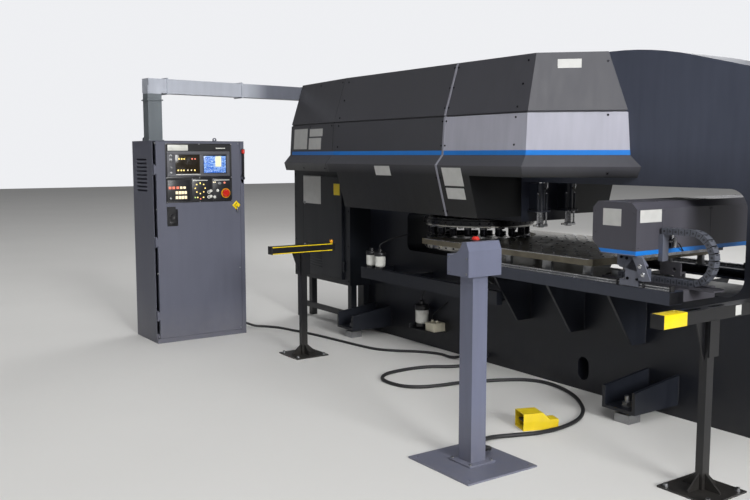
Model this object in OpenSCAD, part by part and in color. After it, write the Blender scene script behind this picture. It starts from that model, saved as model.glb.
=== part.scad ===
// Turret punch press with a bridge frame, two turrets, a gantry carriage and its free-standing controls.
// Millimetres. Origin on the floor under the turret axis, in the frame's centre plane.
// +X runs along the frame from the cabinet end to the carriage end, +Y goes to the rear, +Z up.

/* [Bridge frame] */
// Left end of the frame, measured from the turret axis
frame_left = 1450; // [1300:10:1700]
// Right end of the frame, measured from the turret axis
frame_right = 3201; // [2900:10:3600]
// Thickness of the frame across the plates
frame_w = 528; // [440:4:600]
// Height of the frame's flat top
frame_h = 2331; // [2200:1:2500]
// Fall of the frame's top towards the right end, in degrees
slope_deg = 14.5; // [8:0.5:18]
// Where the flat top starts to bend down
knee_x = 1594; // [1580:2:1700]
// Radius of the bend in the top edge
knee_r = 2550; // [1500:10:3000]
// Height of the lower beam
bed_z = 810; // [780:1:820]
// Underside of the upper beam
beam_z = 1452; // [1420:1:1520]
// Underside of the nose that holds the upper turret
nose_z = 1150; // [1146:1:1160]
// Right end of the nose
nose_x = 780; // [700:5:800]
// Right end of the throat opening
throat_x = 2624; // [2600:1:2800]
// Left end of the throat, behind the turrets
throat_left = 650; // [600:5:800]
// Radius of the throat's corners
throat_r = 120; // [60:5:150]
// Distance of the first gusset from the turret axis
gusset_x = 888; // [880:1:900]
// Spacing of the three gussets
gusset_pitch = 523; // [510:1:530]
// Thickness of a gusset plate
gusset_t = 20; // [12:1:30]
// Reach of a foot bracket from the frame
foot_reach = 419; // [300:5:500]
// Diameter of a levelling screw
screw_d = 42; // [24:1:60]
// Height of the levelling block under a foot bracket
foot_h = 80; // [60:1:120]

/* [Rails and table] */
// Top of the table
table_z = 990; // [980:1:996]
// Thickness of the table's rim
table_t = 45; // [30:1:55]
// Half of the table's overall width
table_y = 627; // [600:1:630]
// Left end of the table
table_x0 = 33; // [0:1:60]
// Right end of the table
table_x1 = 1799; // [1700:1:1820]
// Outer face of the rail beams, from the centre plane
rail_y = 700; // [696:1:740]
// Right end of the rail beams
rail_x1 = 2435; // [2400:5:2500]
// Underside of the rail beams
rail_z = 790; // [780:1:800]
// Height of the rail beams
rail_h = 75; // [60:1:80]
// Width of a linear rail
guide_w = 30; // [20:1:34]
// Height of a linear rail
guide_h = 26; // [18:1:30]

/* [Turrets and ram] */
// Width of the turret plates outside the circle of stations
turret_rim = 62; // [45:1:70]
// Radius of the circle of stations
pitch_r = 400; // [380:1:405]
// Number of stations
stations = 20; // [12:1:24]
// Radius of a punch holder
holder_r = 34; // [24:1:40]
// Thickness of the upper turret plate
upper_t = 65; // [50:1:72]
// Thickness of the lower turret plate
lower_t = 70; // [50:1:75]
// Radius of the turret shafts
shaft_r = 30; // [20:1:40]
// Radius of a turret motor
motor_r = 100; // [80:1:120]
// Radius of the ram
ram_r = 45; // [30:1:50]
// Outer radius of the ram's cylinder
ram_cyl_r = 80; // [65:1:100]
// Stroke of the ram
ram_stroke = 38; // [20:1:45]
// Running clearance of shafts, radial
fit = 0.05; // [0.02:0.01:0.1]

/* [Work holders] */
// Distance of the work holders from the turret axis
hold_x = 864; // [850:1:870]
// Distance of the work holders from the centre plane
hold_y = 150; // [120:1:180]
// Radius of a work holder's cylinder
hold_r = 34; // [28:1:40]
// Height of a work holder's pad at rest
hold_z = 1110; // [1105:1:1125]

/* [Carriage] */
// Left side of the carriage cover
car_x0 = 1865; // [1855:1:1880]
// Right side of the carriage cover
car_x1 = 2198; // [2180:1:2240]
// Underside of the carriage cover
car_z0 = 1056; // [1050:1:1060]
// Top of the carriage cover
car_z1 = 1370; // [1340:1:1400]
// Half length of the carriage cover
car_y = 710; // [700:1:740]
// Chamfer along the cover's top edges
car_chamfer = 40; // [20:1:50]
// Height of the coloured band along the cover's lower edge
band_h = 26; // [15:1:30]
// Thickness of the sheet covers
sheet_t = 4; // [2:0.5:6]
// Spacing of the work clamps
clamp_pitch = 250; // [200:5:300]
// Length of a work clamp
clamp_l = 130; // [110:1:140]

/* [Drag chain] */
// Outer radius of the chain's loop
chain_r = 170; // [150:1:176]
// Height of a link
chain_h = 40; // [30:1:46]
// Width of the chain
chain_w = 55; // [40:1:60]
// Angle taken by one link in the loop
chain_step = 15; // [12:1:20]
// Length of the chain's lower run
chain_run = 564; // [400:2:600]

/* [Head covers] */
// Left end of the head cover
cover_left = 2046; // [1950:2:2100]
// Crease where the left part of the cover bends back
crease_x = 1099; // [1000:1:1200]
// Angle of the left part, in degrees
crease_deg = 6; // [0:0.5:8]
// Corner of the cover's chamfered end, at the frame's plate
corner_x = 1100; // [1000:1:1110]
// Where the joint strip stands
strip_x = 421; // [380:1:460]
// Right end of the cover's lower slope
slope_x1 = 775; // [720:1:778]
// Left end of the cover's lower slope, from the turret axis
slope_x0 = 1000; // [900:1:1090]
// Height of the coloured band on the cover
stripe_h = 33; // [20:1:40]

/* [Hydraulic box] */
// Left end of the hydraulic box, from the turret axis
hyd_x0 = 2268; // [2200:1:2300]
// Right end of the hydraulic box, from the turret axis
hyd_x1 = 1232; // [1200:1:1300]
// Front face of the hydraulic box, from the centre plane
hyd_y = 495; // [480:1:520]
// Underside of the hydraulic box
hyd_z0 = 430; // [400:1:450]
// Top of the hydraulic box
hyd_z1 = 1498; // [1480:1:1500]

/* [Control cabinet] */
// Front face of the cabinet, from the turret axis
cab_x = 1733; // [1700:1:1760]
// Depth of the cabinet
cab_d = 518; // [450:1:600]
// Right edge of the cabinet, in front of the centre plane
cab_y = 1325; // [1250:1:1400]
// Width of the cabinet
cab_w = 856; // [800:1:900]
// Height of the cabinet
cab_h = 1774; // [1700:1:1900]
// Width of the overhead duct
duct_w = 125; // [100:1:150]
// Depth of the duct's centre line below the frame's top
duct_drop = 76; // [66:1:101]

/* [Floor controls] */
// Pedestal's place along the frame
ped_x = 2085; // [2060:1:2140]
// Pedestal's distance in front of the centre plane
ped_y = 1870; // [1850:1:1900]
// Height of the pedestal
ped_h = 1204; // [1100:1:1250]
// Width of the pedestal's post
ped_w = 102; // [80:1:120]
// Height of the foot switch
pedal_h = 104; // [95:1:130]
// Height of the light guard bars' top
guard_z = 917; // [880:1:960]

/* [Hidden] */
$fn = 64;

// Names for the far sizes of cutting blocks and of through holes
far = 9000;
eps = 1;

// Colours of the painted and bare surfaces
navy = [0.12, 0.14, 0.20];
blue_grey = [0.25, 0.27, 0.33];
charcoal = [0.22, 0.22, 0.24];
silver_grey = [0.56, 0.56, 0.61];
band_blue = [0.14, 0.42, 0.76];
lilac_grey = [0.44, 0.45, 0.54];
cabinet_grey = [0.36, 0.36, 0.42];
steel = [0.72, 0.73, 0.75];
black = [0.06, 0.06, 0.07];
bronze_grey = [0.48, 0.46, 0.41];
yellow = [0.93, 0.78, 0.08];
red = [0.78, 0.12, 0.08];
white = [0.88, 0.88, 0.86];
galvanised = [0.55, 0.57, 0.61];

// Derived places
half_w = frame_w / 2;
slope = tan(slope_deg);
knee_len = knee_r * tan(slope_deg / 2);
right_top = frame_h - (frame_right - knee_x - knee_len) * slope;
foot_x = [-1147, -908, 1967, 2196];
foot_shelf = 20;
foot_root = 270;
foot_tip = 218;
gusset_z = 430;
gusset_base = 132;
rail_inner = rail_y - 130;
rail_x0 = 850;
rail_top = rail_z + rail_h;
guide_y = rail_y - 35;
upper_z0 = nose_z - 10 - upper_t;
holder_lip = 6;
punch_z = 1002;
die_z = table_z - 2;
lower_z1 = die_z - 38;
lower_z0 = lower_z1 - lower_t;
motor_z = 360;
table_gap = 13;
gland_x = [290, 420];
gland_z = 60;
gland_l = 26;
clear = 0.3;

// Mirrored copy across the frame's centre plane, beside the original
module both_sides() {
    children();
    mirror([0, 1, 0]) children();
}

// Outline in the XZ plane, thickened from y0 to y1
module plate_xz(y0, y1) {
    translate([0, y1, 0]) rotate([90, 0, 0]) linear_extrude(y1 - y0) children();
}

// Outline in the YZ plane, thickened from x0 to x1
module plate_yz(x0, x1) {
    translate([x0, 0, 0]) rotate([90, 0, 90]) linear_extrude(x1 - x0) children();
}

// Block between two corners
module block(a, b) {
    translate(a) cube(b - a);
}

// Rectangle with four round corners
module round_rect(x0, y0, x1, y1, r) {
    translate([x0 + r, y0]) square([x1 - x0 - 2 * r, y1 - y0]);
    translate([x0, y0 + r]) square([x1 - x0, y1 - y0 - 2 * r]);
    for (x = [x0 + r, x1 - r], y = [y0 + r, y1 - r]) translate([x, y]) circle(r);
}

// Offset of an open line of points to its right-hand side
function unit(v) = v / norm(v);
function side(a, b) = let (d = unit(b - a)) [d[1], -d[0]];
function inset(p, t) = [for (i = [0:len(p) - 1])
    let (n1 = side(p[max(i - 1, 0)], p[max(i, 1)]),
         n2 = side(p[min(i, len(p) - 2)], p[min(i + 1, len(p) - 1)]))
    p[i] + t * (n1 + n2) / (1 + n1 * n2)];
function reversed(p) = [for (i = [len(p) - 1:-1:0]) p[i]];

// Section of a folded sheet of thickness t along a line of points
module sheet_section(p, t) {
    polygon(concat(p, reversed(inset(p, t))));
}

// Outline of the frame seen from the front
module frame_outline() {
    polygon(concat([[-frame_left, 0], [frame_right, 0], [frame_right, right_top]],
        [for (i = [6:-1:0]) let (a = slope_deg * i / 6)
            [knee_x + knee_r * sin(a), frame_h - knee_r * (1 - cos(a))]],
        [[-frame_left, frame_h]]));
}

// Throat opening, with the part that runs left under the nose
module throat_outline() {
    difference() {
        round_rect(nose_x - 2 * throat_r, bed_z, throat_x, beam_z, throat_r);
        translate([nose_x - 3 * throat_r, nose_z]) square([3 * throat_r, beam_z]);
    }
    round_rect(-throat_left, bed_z, nose_x, nose_z, 60);
    translate([nose_x - 3 * throat_r, bed_z]) square([4 * throat_r, nose_z - bed_z]);
}

// Handling slot near the floor
module slot_outline() {
    round_rect(1372, 73, 1472, 238, 49.9);
}

// Gusset that carries a rail beam
module gusset(x) {
    plate_yz(x - gusset_t / 2, x + gusset_t / 2)
        polygon([[-half_w, gusset_z], [-half_w - gusset_base, gusset_z],
            [-rail_y + 63, rail_z - 5], [-rail_y + 63, rail_z], [-half_w, rail_z]]);
}

// Foot bracket rib
module foot_rib(x) {
    plate_yz(x - 12, x + 12)
        polygon([[-half_w, foot_h], [-half_w - foot_reach, foot_h],
            [-half_w - foot_reach, foot_tip], [-half_w, foot_root]]);
}

// Shelf between two foot ribs, with the hole of its levelling screw
module foot_shelf_plate(x0, x1) {
    xm = (x0 + x1) / 2;
    difference() {
        block([x0, -half_w - foot_reach, foot_h], [x1, -half_w, foot_h + foot_shelf]);
        translate([xm, -half_w - foot_reach + 90, foot_h - eps])
            cylinder(r = screw_d / 2 + fit, h = foot_shelf + 2 * eps);
    }
}

module bridge_frame() {
    color(navy) difference() {
        union() {
            plate_xz(-half_w, half_w) difference() {
                frame_outline();
                throat_outline();
                slot_outline();
            }
            // glands of the floor cords
            for (x = gland_x) translate([x, -half_w + eps, gland_z]) rotate([90, 0, 0])
                cylinder(r = 20, h = gland_l + eps);
        }
        // seats of the turret motors and of the ram's cylinder
        translate([0, 0, nose_z - eps]) cylinder(r = motor_r + clear, h = motor_z + 50 + eps);
        translate([0, 0, bed_z - motor_z]) cylinder(r = motor_r + clear, h = motor_z + eps);
        translate([pitch_r, 0, nose_z - eps]) cylinder(r = ram_cyl_r + clear, h = 650 + eps);
    }
}

module levelling_feet() {
    color(steel) both_sides() for (x = [(foot_x[0] + foot_x[1]) / 2, (foot_x[2] + foot_x[3]) / 2])
        translate([x, -half_w - foot_reach + 90, 0]) {
            translate([-55, -55, 0]) cube([110, 110, foot_h - 25]);
            translate([0, 0, foot_h - 25]) cylinder(r = screw_d / 2, h = 110);
            translate([0, 0, foot_h - 25]) cylinder(r = screw_d / 2 + 12, h = 25, $fn = 6);
        }
}

module rail_beams() {
    color(blue_grey) both_sides() plate_yz(rail_x0, rail_x1)
        polygon([[-rail_y, rail_z], [-rail_inner, rail_z], [-rail_inner, rail_z + 12],
            [-rail_y + 12, rail_z + 12], [-rail_y + 12, rail_top - 14], [-rail_inner, rail_top - 14],
            [-rail_inner, rail_top], [-rail_y, rail_top]]);
}

// Section of a linear rail, centred on zero
module guide_section(w, h) {
    polygon([[-w / 2, 0], [w / 2, 0], [w / 2, h * 0.35], [w * 0.34, h * 0.55], [w / 2, h * 0.75],
        [w / 2, h], [-w / 2, h], [-w / 2, h * 0.75], [-w * 0.34, h * 0.55], [-w / 2, h * 0.35]]);
}

module linear_rails() {
    color(steel) both_sides() translate([0, -guide_y, rail_top])
        plate_yz(rail_x0 + 20, rail_x1 - 15) guide_section(guide_w, guide_h);
}

// Plates welded on the frame's faces: rail gussets, foot brackets and the beam between the gussets
module frame_brackets() {
    color(navy) {
        both_sides() {
            for (i = [0:2]) gusset(gusset_x + i * gusset_pitch);
            for (x = foot_x) foot_rib(x);
            foot_shelf_plate(foot_x[0], foot_x[1]);
            foot_shelf_plate(foot_x[2], foot_x[3]);
        }
        block([-899, -594, 560], [gusset_x - gusset_t / 2, -540, 660]);
        for (x = [-860, -300, 300, 800]) block([x - 15, -540, 575], [x + 15, -half_w, 645]);
    }
}

// Tray that carries the chain's lower run, on its cross member
tray_z = 877;
chain_x = 2414;
chain_y0 = -500;
chain_z = tray_z + chain_r;
chain_end = car_x1 + 32;

module chain_tray() {
    y0 = chain_y0 - 22;
    y1 = chain_y0 + chain_w + 22;
    color(blue_grey) {
        plate_yz(chain_x - chain_run - 60, chain_x + chain_r + 16)
            polygon([[y0, tray_z - 8], [y1, tray_z - 8], [y1, tray_z + 8], [y1 - 5, tray_z + 8],
                [y1 - 5, tray_z], [y0 + 5, tray_z], [y0 + 5, tray_z + 8], [y0, tray_z + 8]]);
        difference() {
            block([rail_x1 - 60, -rail_inner, 800], [rail_x1, -half_w, tray_z - 8]);
            block([rail_x1 - 52, -rail_inner - eps, 808], [rail_x1 - 8, -half_w + eps, tray_z - 16]);
        }
        block([gusset_x + 2 * gusset_pitch - 30, y0, rail_z],
            [gusset_x + 2 * gusset_pitch + 30, y1, tray_z - 8]);
        // stop plate with a hole, on its angle on the lower beam
        plate_xz(-362, -350) difference() {
            translate([2110, 914]) square([150, 80]);
            translate([2215, 950]) circle(13);
        }
        block([2120, -350, 914], [2200, -226, 926]);
        block([2120, -238, bed_z], [2200, -226, 914]);
    }
}

// Plan of one table, without the round cut-out of the turret
module table_slab(y0, y1) {
    cut_r = turret_r + table_gap;
    rim = 20;
    difference() {
        block([table_x0, y0, table_z - table_t], [table_x1, y1, table_z]);
        translate([0, 0, table_z - table_t - eps]) cylinder(r = cut_r, h = table_t + 2 * eps, $fn = 96);
        difference() {
            block([table_x0 + rim, y0 + rim, table_z - table_t - eps],
                [table_x1 - rim, y1 - rim, table_z - 12]);
            translate([0, 0, table_z - table_t - 2 * eps])
                cylinder(r = cut_r + rim, h = table_t, $fn = 96);
        }
    }
}

centre_half = 300;

module front_table() {
    color(bronze_grey) table_slab(-table_y, -centre_half);
}

module centre_table() {
    color(bronze_grey) table_slab(-centre_half, centre_half);
}

module rear_table() {
    color(bronze_grey) table_slab(centre_half, table_y);
}

leg_x = [480, 1000, 1390, 1740];

module table_legs() {
    z1 = table_z - table_t;
    color(steel) both_sides() for (x = leg_x) {
        // outer leg on the rail beam, with its head and foot plates
        block([x - 22, -rail_inner - 30, rail_top + 10], [x + 22, -rail_inner - 4, z1 - 10]);
        block([x - 32, -rail_inner - 34, z1 - 10], [x + 32, -rail_inner, z1]);
        if (x > rail_x0) block([x - 32, -rail_inner - 34, rail_top], [x + 32, -rail_inner, rail_top + 10]);
        else plate_yz(x - 22, x + 22)
            polygon([[-rail_inner - 30, rail_top + 10], [-rail_inner - 4, rail_top + 10],
                [-half_w, 720], [-half_w, 640], [-rail_inner - 30, rail_top - 40]]);
        // inner leg on the lower beam
        block([x - 22, -half_w + 30, bed_z], [x + 22, -half_w + 60, z1]);
    }
}

ball_r = 11;
ball_pitch = 110;

// Dome of a ball transfer standing out of the table
module ball_dome(x, y) {
    translate([x, y, table_z]) intersection() {
        translate([0, 0, -ball_r / 2]) sphere(ball_r);
        translate([-ball_r, -ball_r, 0]) cube(2 * ball_r);
    }
}

module ball_transfers() {
    color(steel) for (x = [540:ball_pitch:table_x1 - 40])
        for (y = [-580, -470, -360, -255, -85, 85, 255, 360, 470, 580]) ball_dome(x, y);
}

module ram_cylinder() {
    color(steel) translate([pitch_r, 0, nose_z + 10]) difference() {
        cylinder(r = ram_cyl_r, h = 640);
        translate([0, 0, -eps]) cylinder(r = ram_r + fit, h = 600);
    }
}

ram_z = punch_z + holder_lip + ram_stroke + (upper_z0 + upper_t - punch_z) + 0.5;

module ram() {
    color(steel) translate([pitch_r, 0, ram_z]) cylinder(r = ram_r, h = 480);
}

module upper_turret() {
    color(steel) difference() {
        union() {
            translate([0, 0, upper_z0]) rotate_extrude($fn = 128)
                polygon([[0, 0], [turret_r - 8, 0], [turret_r - 8, 10], [turret_r, 14],
                    [turret_r, upper_t - 14], [turret_r - 8, upper_t - 10], [turret_r - 8, upper_t], [0,
                        upper_t]]);
            translate([0, 0, upper_z0 + upper_t - eps]) cylinder(r = shaft_r, h = 250);
        }
        for (i = [0:stations - 1]) rotate(i * 360 / stations) translate([pitch_r, 0, upper_z0 - eps])
            cylinder(r = holder_r + fit, h = upper_t + 2 * eps);
    }
}

// Motor round a turret's shaft, drawn with the shaft's hole at its lower end
module turret_motor(h) {
    difference() {
        union() {
            cylinder(r = motor_r, h = h);
            cylinder(r = motor_r - 15, h = h);
        }
        translate([0, 0, -eps]) cylinder(r = shaft_r + fit, h = h - 30);
    }
}

module upper_turret_motor() {
    color(charcoal) translate([0, 0, nose_z + 50]) turret_motor(motor_z);
}

module punch_holders() {
    color(black) for (i = [0:stations - 1]) rotate(i * 360 / stations) translate([pitch_r, 0, 0]) {
        translate([0, 0, punch_z]) cylinder(r1 = holder_r - 10, r2 = holder_r - 4, h = 14, $fn = 32);
        translate([0, 0, punch_z + 14]) cylinder(r = holder_r - 4, h = upper_z0 - punch_z - 14);
        translate([0, 0, upper_z0]) cylinder(r = holder_r, h = upper_t);
        translate([0, 0, upper_z0 + upper_t]) cylinder(r = holder_r + 5, h = holder_lip);
    }
}

module lower_turret() {
    color(steel) translate([0, 0, lower_z0]) rotate_extrude($fn = 128)
        polygon([[0, -300], [shaft_r, -300], [shaft_r, 0], [turret_r - 20, 0], [turret_r - 8, 12],
            [turret_r - 8, lower_t], [0, lower_t]]);
}

module lower_turret_motor() {
    color(charcoal) translate([0, 0, bed_z - 40]) mirror([0, 0, 1]) turret_motor(motor_z - 40);
}

module die_holders() {
    color(black) for (i = [0:stations - 1]) rotate(i * 360 / stations) translate([pitch_r, 0, lower_z1])
        difference() {
            cylinder(r = holder_r + 4, h = die_z - lower_z1);
            translate([0, 0, 6]) cylinder(r = holder_r - 12, h = die_z - lower_z1);
        }
}

// Work holder's cylinder with its mounting plate on the nose and two guide tubes
module holder_cylinders() {
    color(blue_grey) both_sides() difference() {
        union() {
            translate([hold_x, -hold_y, 1240]) cylinder(r = hold_r, h = 200);
            block([nose_x, -hold_y - 40, 1225], [hold_x, -hold_y + 40, 1440]);
            translate([0, 0, 1225]) linear_extrude(15)
                round_rect(nose_x, -hold_y - 60, hold_x + 60, -hold_y + 60, 30);
            for (s = [-1, 1]) translate([hold_x + 15, -hold_y + s * 44, 1240]) cylinder(r = 11, h = 120);
        }
        translate([hold_x, -hold_y, 1200]) cylinder(r = 18 + fit, h = 225);
        for (s = [-1, 1]) translate([hold_x + 15, -hold_y + s * 44, 1200]) cylinder(r = 7 + fit, h = 200);
    }
}

// Rods and pad that press on the sheet
module holder_pad(y) {
    color(steel) {
        translate([hold_x, y, hold_z + 18]) cylinder(r = 18, h = 270);
        translate([hold_x, y, hold_z + 18]) for (s = [-1, 1]) translate([15, s * 44, 0])
            cylinder(r = 7, h = 240);
        translate([0, 0, hold_z + 6]) linear_extrude(12.5)
            round_rect(hold_x - 30, y - 58, hold_x + 34, y + 58, 20);
        translate([hold_x, y, hold_z]) cylinder(r1 = 26, r2 = 30, h = 6.5);
    }
}

module front_holder_pad() {
    holder_pad(-hold_y);
}

module rear_holder_pad() {
    holder_pad(hold_y);
}

beam_x = (car_x0 + car_x1) / 2;
cross_x = 1975;
beam_z0 = 1100;
end_y = rail_y - 8;

module carriage_beam() {
    color(blue_grey) {
        plate_xz(-car_y + 10, car_y - 10) difference() {
            translate([car_x0 + car_chamfer + sheet_t, beam_z0])
                square([car_x1 - car_x0 - 2 * car_chamfer - 2 * sheet_t, car_z1 - sheet_t - beam_z0]);
            translate([car_x0 + car_chamfer + 16, beam_z0 + 12])
                square([car_x1 - car_x0 - 2 * car_chamfer - 32, car_z1 - sheet_t - beam_z0 - 24]);
        }
        translate([cross_x, 0, beam_z0]) mirror([0, 0, 1]) plate_xz(-car_y + 20, car_y - 20)
            guide_section(guide_w, guide_h);
    }
}

// Folded line of the carriage cover, from the lower left edge over the top to the lower right edge
function carriage_line() = [[car_x0 + 75, car_z0], [car_x0, car_z0 + 74], [car_x0, car_z1 - car_chamfer],
    [car_x0 + car_chamfer, car_z1], [car_x1 - car_chamfer, car_z1], [car_x1, car_z1 - car_chamfer],
        [car_x1, car_z0]];

module carriage_cover() {
    color(charcoal) {
        plate_xz(-car_y + sheet_t, car_y - sheet_t) sheet_section(carriage_line(), sheet_t);
        both_sides() plate_xz(-car_y, -car_y + sheet_t) polygon(carriage_line());
    }
}

module carriage_stripe() {
    t = 1.2;
    color(band_blue) {
        both_sides() plate_xz(-car_y - t, -car_y)
            polygon([[car_x0 + 75, car_z0], [car_x0 + 75 - band_h, car_z0 + band_h],
                [car_x1, car_z0 + band_h], [car_x1, car_z0]]);
        difference() {
            block([car_x1, -car_y - t, car_z0], [car_x1 + t, car_y + t, car_z0 + band_h]);
            block([car_x1 - eps, chain_y0 - clear, car_z0 - eps],
                [car_x1 + 2 * t, chain_y0 + chain_w + clear, car_z1]);
        }
    }
}

// End bracket with its bearing block on the linear rail
module end_bracket() {
    x0 = 2050;
    x1 = 2235;
    difference() {
        block([x0 + 20, -end_y, rail_top + 5], [x1 - 30, -end_y + 54, rail_top + 42]);
        block([x0, -guide_y - guide_w / 2 - clear, rail_top],
            [x1, -guide_y + guide_w / 2 + clear, rail_top + guide_h + clear]);
    }
    plate_xz(-end_y, -end_y + 54)
        polygon([[x0 + 60, rail_top + 42], [x1, rail_top + 42], [x1, 1000], [x1 - 45, car_z0 - 1],
            [x0, car_z0 - 1], [x0, 1030], [x0 + 60, 965]]);
    block([x0 + 40, -end_y, car_z0 - 2], [x0 + 100, -end_y + 54, beam_z0]);
}

module carriage_brackets() {
    color(blue_grey) {
        both_sides() end_bracket();
        // slanted plate with two holes in front of the near end bracket
        plate_xz(-end_y - 8, -end_y) difference() {
            polygon([[2168, 1046], [2238, 1050], [2302, 914], [2234, 907]]);
            for (k = [0, 1]) translate([2225 + 24 * k, 996 - 48 * k]) circle(11);
        }
        // post that holds the chain's upper end
        block([car_x1, chain_y0, 1012], [chain_end, chain_y0 + chain_w, chain_z + chain_r - chain_h]);
    }
}

module cross_slide() {
    top = beam_z0 - 0.5;
    half = 440;
    color(steel) {
        plate_xz(-half, half) difference() {
            polygon([[1880, 1004], [2012, 1004], [2012, top], [cross_x - 26, top], [cross_x - 26, 1050],
                [1880, 1050]]);
            translate([cross_x - guide_w / 2 - 0.5, top - guide_h - 0.5]) square([guide_w + 1, guide_h + 2]);
        }
    }
}

clamp_y = [-clamp_pitch, 0, clamp_pitch];
clamp_x1 = 1880;
clamp_x0 = clamp_x1 - clamp_l;
jaw_x = clamp_x0 + 62;
jaw_z = 1030;
pin_r = 6;

module clamp_bodies() {
    color(black) for (y = clamp_y) {
        for (s = [0, 1]) plate_xz(y - 35 + 55 * s, y - 20 + 55 * s)
            polygon([[clamp_x0 + 42, 996], [clamp_x1, 996], [clamp_x1, 1048], [clamp_x0 + 50, 1048],
                [clamp_x0 + 42, 1034]]);
        block([clamp_x0, y - 20, 996], [clamp_x1, y + 20, 1002]);
        block([clamp_x1 - 20, y - 20, 1002], [clamp_x1, y + 20, 1048]);
        translate([jaw_x, y + 21, jaw_z]) rotate([90, 0, 0]) cylinder(r = pin_r, h = 42);
    }
}

// Upper jaw of one work clamp, turning on the clamp's pin
module clamp_jaw(y) {
    color(steel) plate_xz(y - 19, y + 19) difference() {
        polygon([[clamp_x0 + 1, 1010], [clamp_x0 + 90, 1012], [clamp_x0 + 90, 1040], [clamp_x0 + 40, 1044],
            [clamp_x0 + 1, 1024]]);
        translate([jaw_x, jaw_z]) circle(pin_r + fit);
    }
}

module clamp_jaw_a() {
    clamp_jaw(clamp_y[0]);
}

module clamp_jaw_b() {
    clamp_jaw(clamp_y[1]);
}

module clamp_jaw_c() {
    clamp_jaw(clamp_y[2]);
}

link_gap = 0.6;
run_pitch = 40;
turns = floor(180 / chain_step);

// Straight link whose lower outer edge starts at x, z
module straight_link(x, z, l) {
    difference() {
        block([x, chain_y0, z], [x + l - link_gap, chain_y0 + chain_w, z + chain_h]);
        block([x - eps, chain_y0 + 8, z + 7], [x + l, chain_y0 + chain_w - 8, z + chain_h - 7]);
    }
}

module drag_chain() {
    r0 = chain_r - chain_h;
    color(black) {
        for (i = [0:floor(chain_run / run_pitch) - 1])
            straight_link(chain_x - (i + 1) * run_pitch, tray_z, run_pitch);
        for (i = [0:floor((chain_x - chain_end + 24) / run_pitch) - 1])
            straight_link(chain_x - (i + 1) * run_pitch, chain_z + chain_r - chain_h, run_pitch);
        translate([chain_x, 0, chain_z]) for (i = [0:turns - 1]) rotate([0, 90 - (i + 0.5) * chain_step, 0])
            difference() {
                plate_xz(chain_y0, chain_y0 + chain_w)
                    polygon([for (c = [[r0, -1], [chain_r, -1], [chain_r, 1], [r0, 1]])
                        let (a = c[1] * (chain_step / 2 - 0.12)) [c[0] * cos(a), c[0] * sin(a)]]);
                block([r0 + 7, chain_y0 + 8, -30], [chain_r - 7, chain_y0 + chain_w - 8, 30]);
            }
    }
}

// Head covers: folded sheet whose section runs along the frame and round a chamfered end
cover_top = frame_h + sheet_t;
cover_back = 3000;
skirt_z = 1502;
lower_z = 1192;
slope_foot = 433;
kink = [541, 1574];
skirt_d = kink[0] - (kink[0] - slope_foot) * (kink[1] - skirt_z) / (kink[1] - lower_z);
left_len = (cover_left - crease_x) / cos(crease_deg);

// Front line of the section: distance in front of the frame's plate, and height
cover_front = [[333, cover_top], [455, 1944], [444, 1941], [444, 1933], [457, 1930], [476, 1650], kink];
function cover_profile(t) = inset(concat([[-cover_back, cover_top]], cover_front,
    [[skirt_d, skirt_z], [-cover_back, skirt_z]]), t);
function lower_profile(t) = let (p = inset([[skirt_d, skirt_z], [slope_foot, lower_z], [-cover_back,
    lower_z]], t),
    r = cover_profile(t)[len(cover_front) + 1]) [r, p[1], p[2], [-cover_back, r[1] + 30], [r[0] - 40,
        r[1] + 30]];

// A long bar of the section between two places along the frame
module section_bar(p, x0, x1) {
    plate_yz(x0, x1) mirror([1, 0]) polygon(p);
}

// Space inside the cover's outline moved in by t: three bars that cut one another at the two bends
module cover_body(t) {
    intersection() {
        translate([0, -half_w, 0]) section_bar(cover_profile(t), -far / 2, far / 2);
        translate([-crease_x, -half_w, 0]) rotate(-crease_deg)
            section_bar(cover_profile(t), -left_len + max(t, 0), far / 2);
        translate([corner_x, -half_w, 0]) rotate(45) section_bar(cover_profile(t), -far / 2, far / 2);
    }
}

module cover_space(t) {
    cover_body(t);
    translate([0, -half_w, 0]) section_bar(lower_profile(t), -slope_x0 + t, slope_x1 - t);
}

// The whole front cover, open towards the frame
module cover_shell() {
    difference() {
        cover_space(0);
        cover_space(sheet_t);
        block([-frame_left, -half_w, 0], [far, half_w, frame_h]);
        block([-far, -1, -1], [far, far, far]);
        block([corner_x, -half_w, 0], [far, far, far]);
    }
}

// Duct's end, turned into the cover's left end
duct_deg = 6;
turret_r = pitch_r + turret_rim;
duct_z = frame_h - duct_drop;
duct_x = -1990;
duct_y = -2079;
duct_len = 1757;

module duct_frame() {
    translate([duct_x, duct_y, duct_z]) rotate(duct_deg) children();
}

module duct_bore(w) {
    duct_frame() block([-w / 2, duct_len - w / 2, -w / 2], [220, duct_len + w / 2, w / 2]);
}

module front_cover_left() {
    color(charcoal) difference() {
        cover_shell();
        block([strip_x, -far, -1], [far, far, far]);
        duct_bore(duct_w - 25);
    }
}

module front_cover_right() {
    color(charcoal) difference() {
        cover_shell();
        block([-far, -far, -1], [strip_x, far, far]);
    }
}

module cover_joint_strip() {
    t = 3;
    line = concat(cover_front, [[slope_foot, lower_z]]);
    color(silver_grey) translate([0, -half_w, 0])
        section_bar(concat(inset(line, -t), reversed(line)), strip_x - 10, strip_x + 10);
}

module cover_stripe() {
    t = 1.2;
    z = cover_front[5][1];
    color(band_blue) difference() {
        cover_body(-t);
        cover_body(0);
        block([-far, -far, -1], [far, far, z]);
        block([-far, -far, z + stripe_h], [far, far, far]);
        block([-far, -half_w, -1], [far, far, far]);
        block([-far, -far, -1], [-crease_x - left_len * cos(crease_deg) + 1, far, far]);
        block([strip_x - 10, -far, 0], [strip_x + 10, far, far]);
    }
}

module rear_cover() {
    color(charcoal) mirror([0, 1, 0]) cover_shell();
}

// Hinge parts shared by the doors: pin with its lugs, and the knuckle that turns on it
knuckle_r = 9;
knuckle_h = 70;
hinge_pin = 5;

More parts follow.
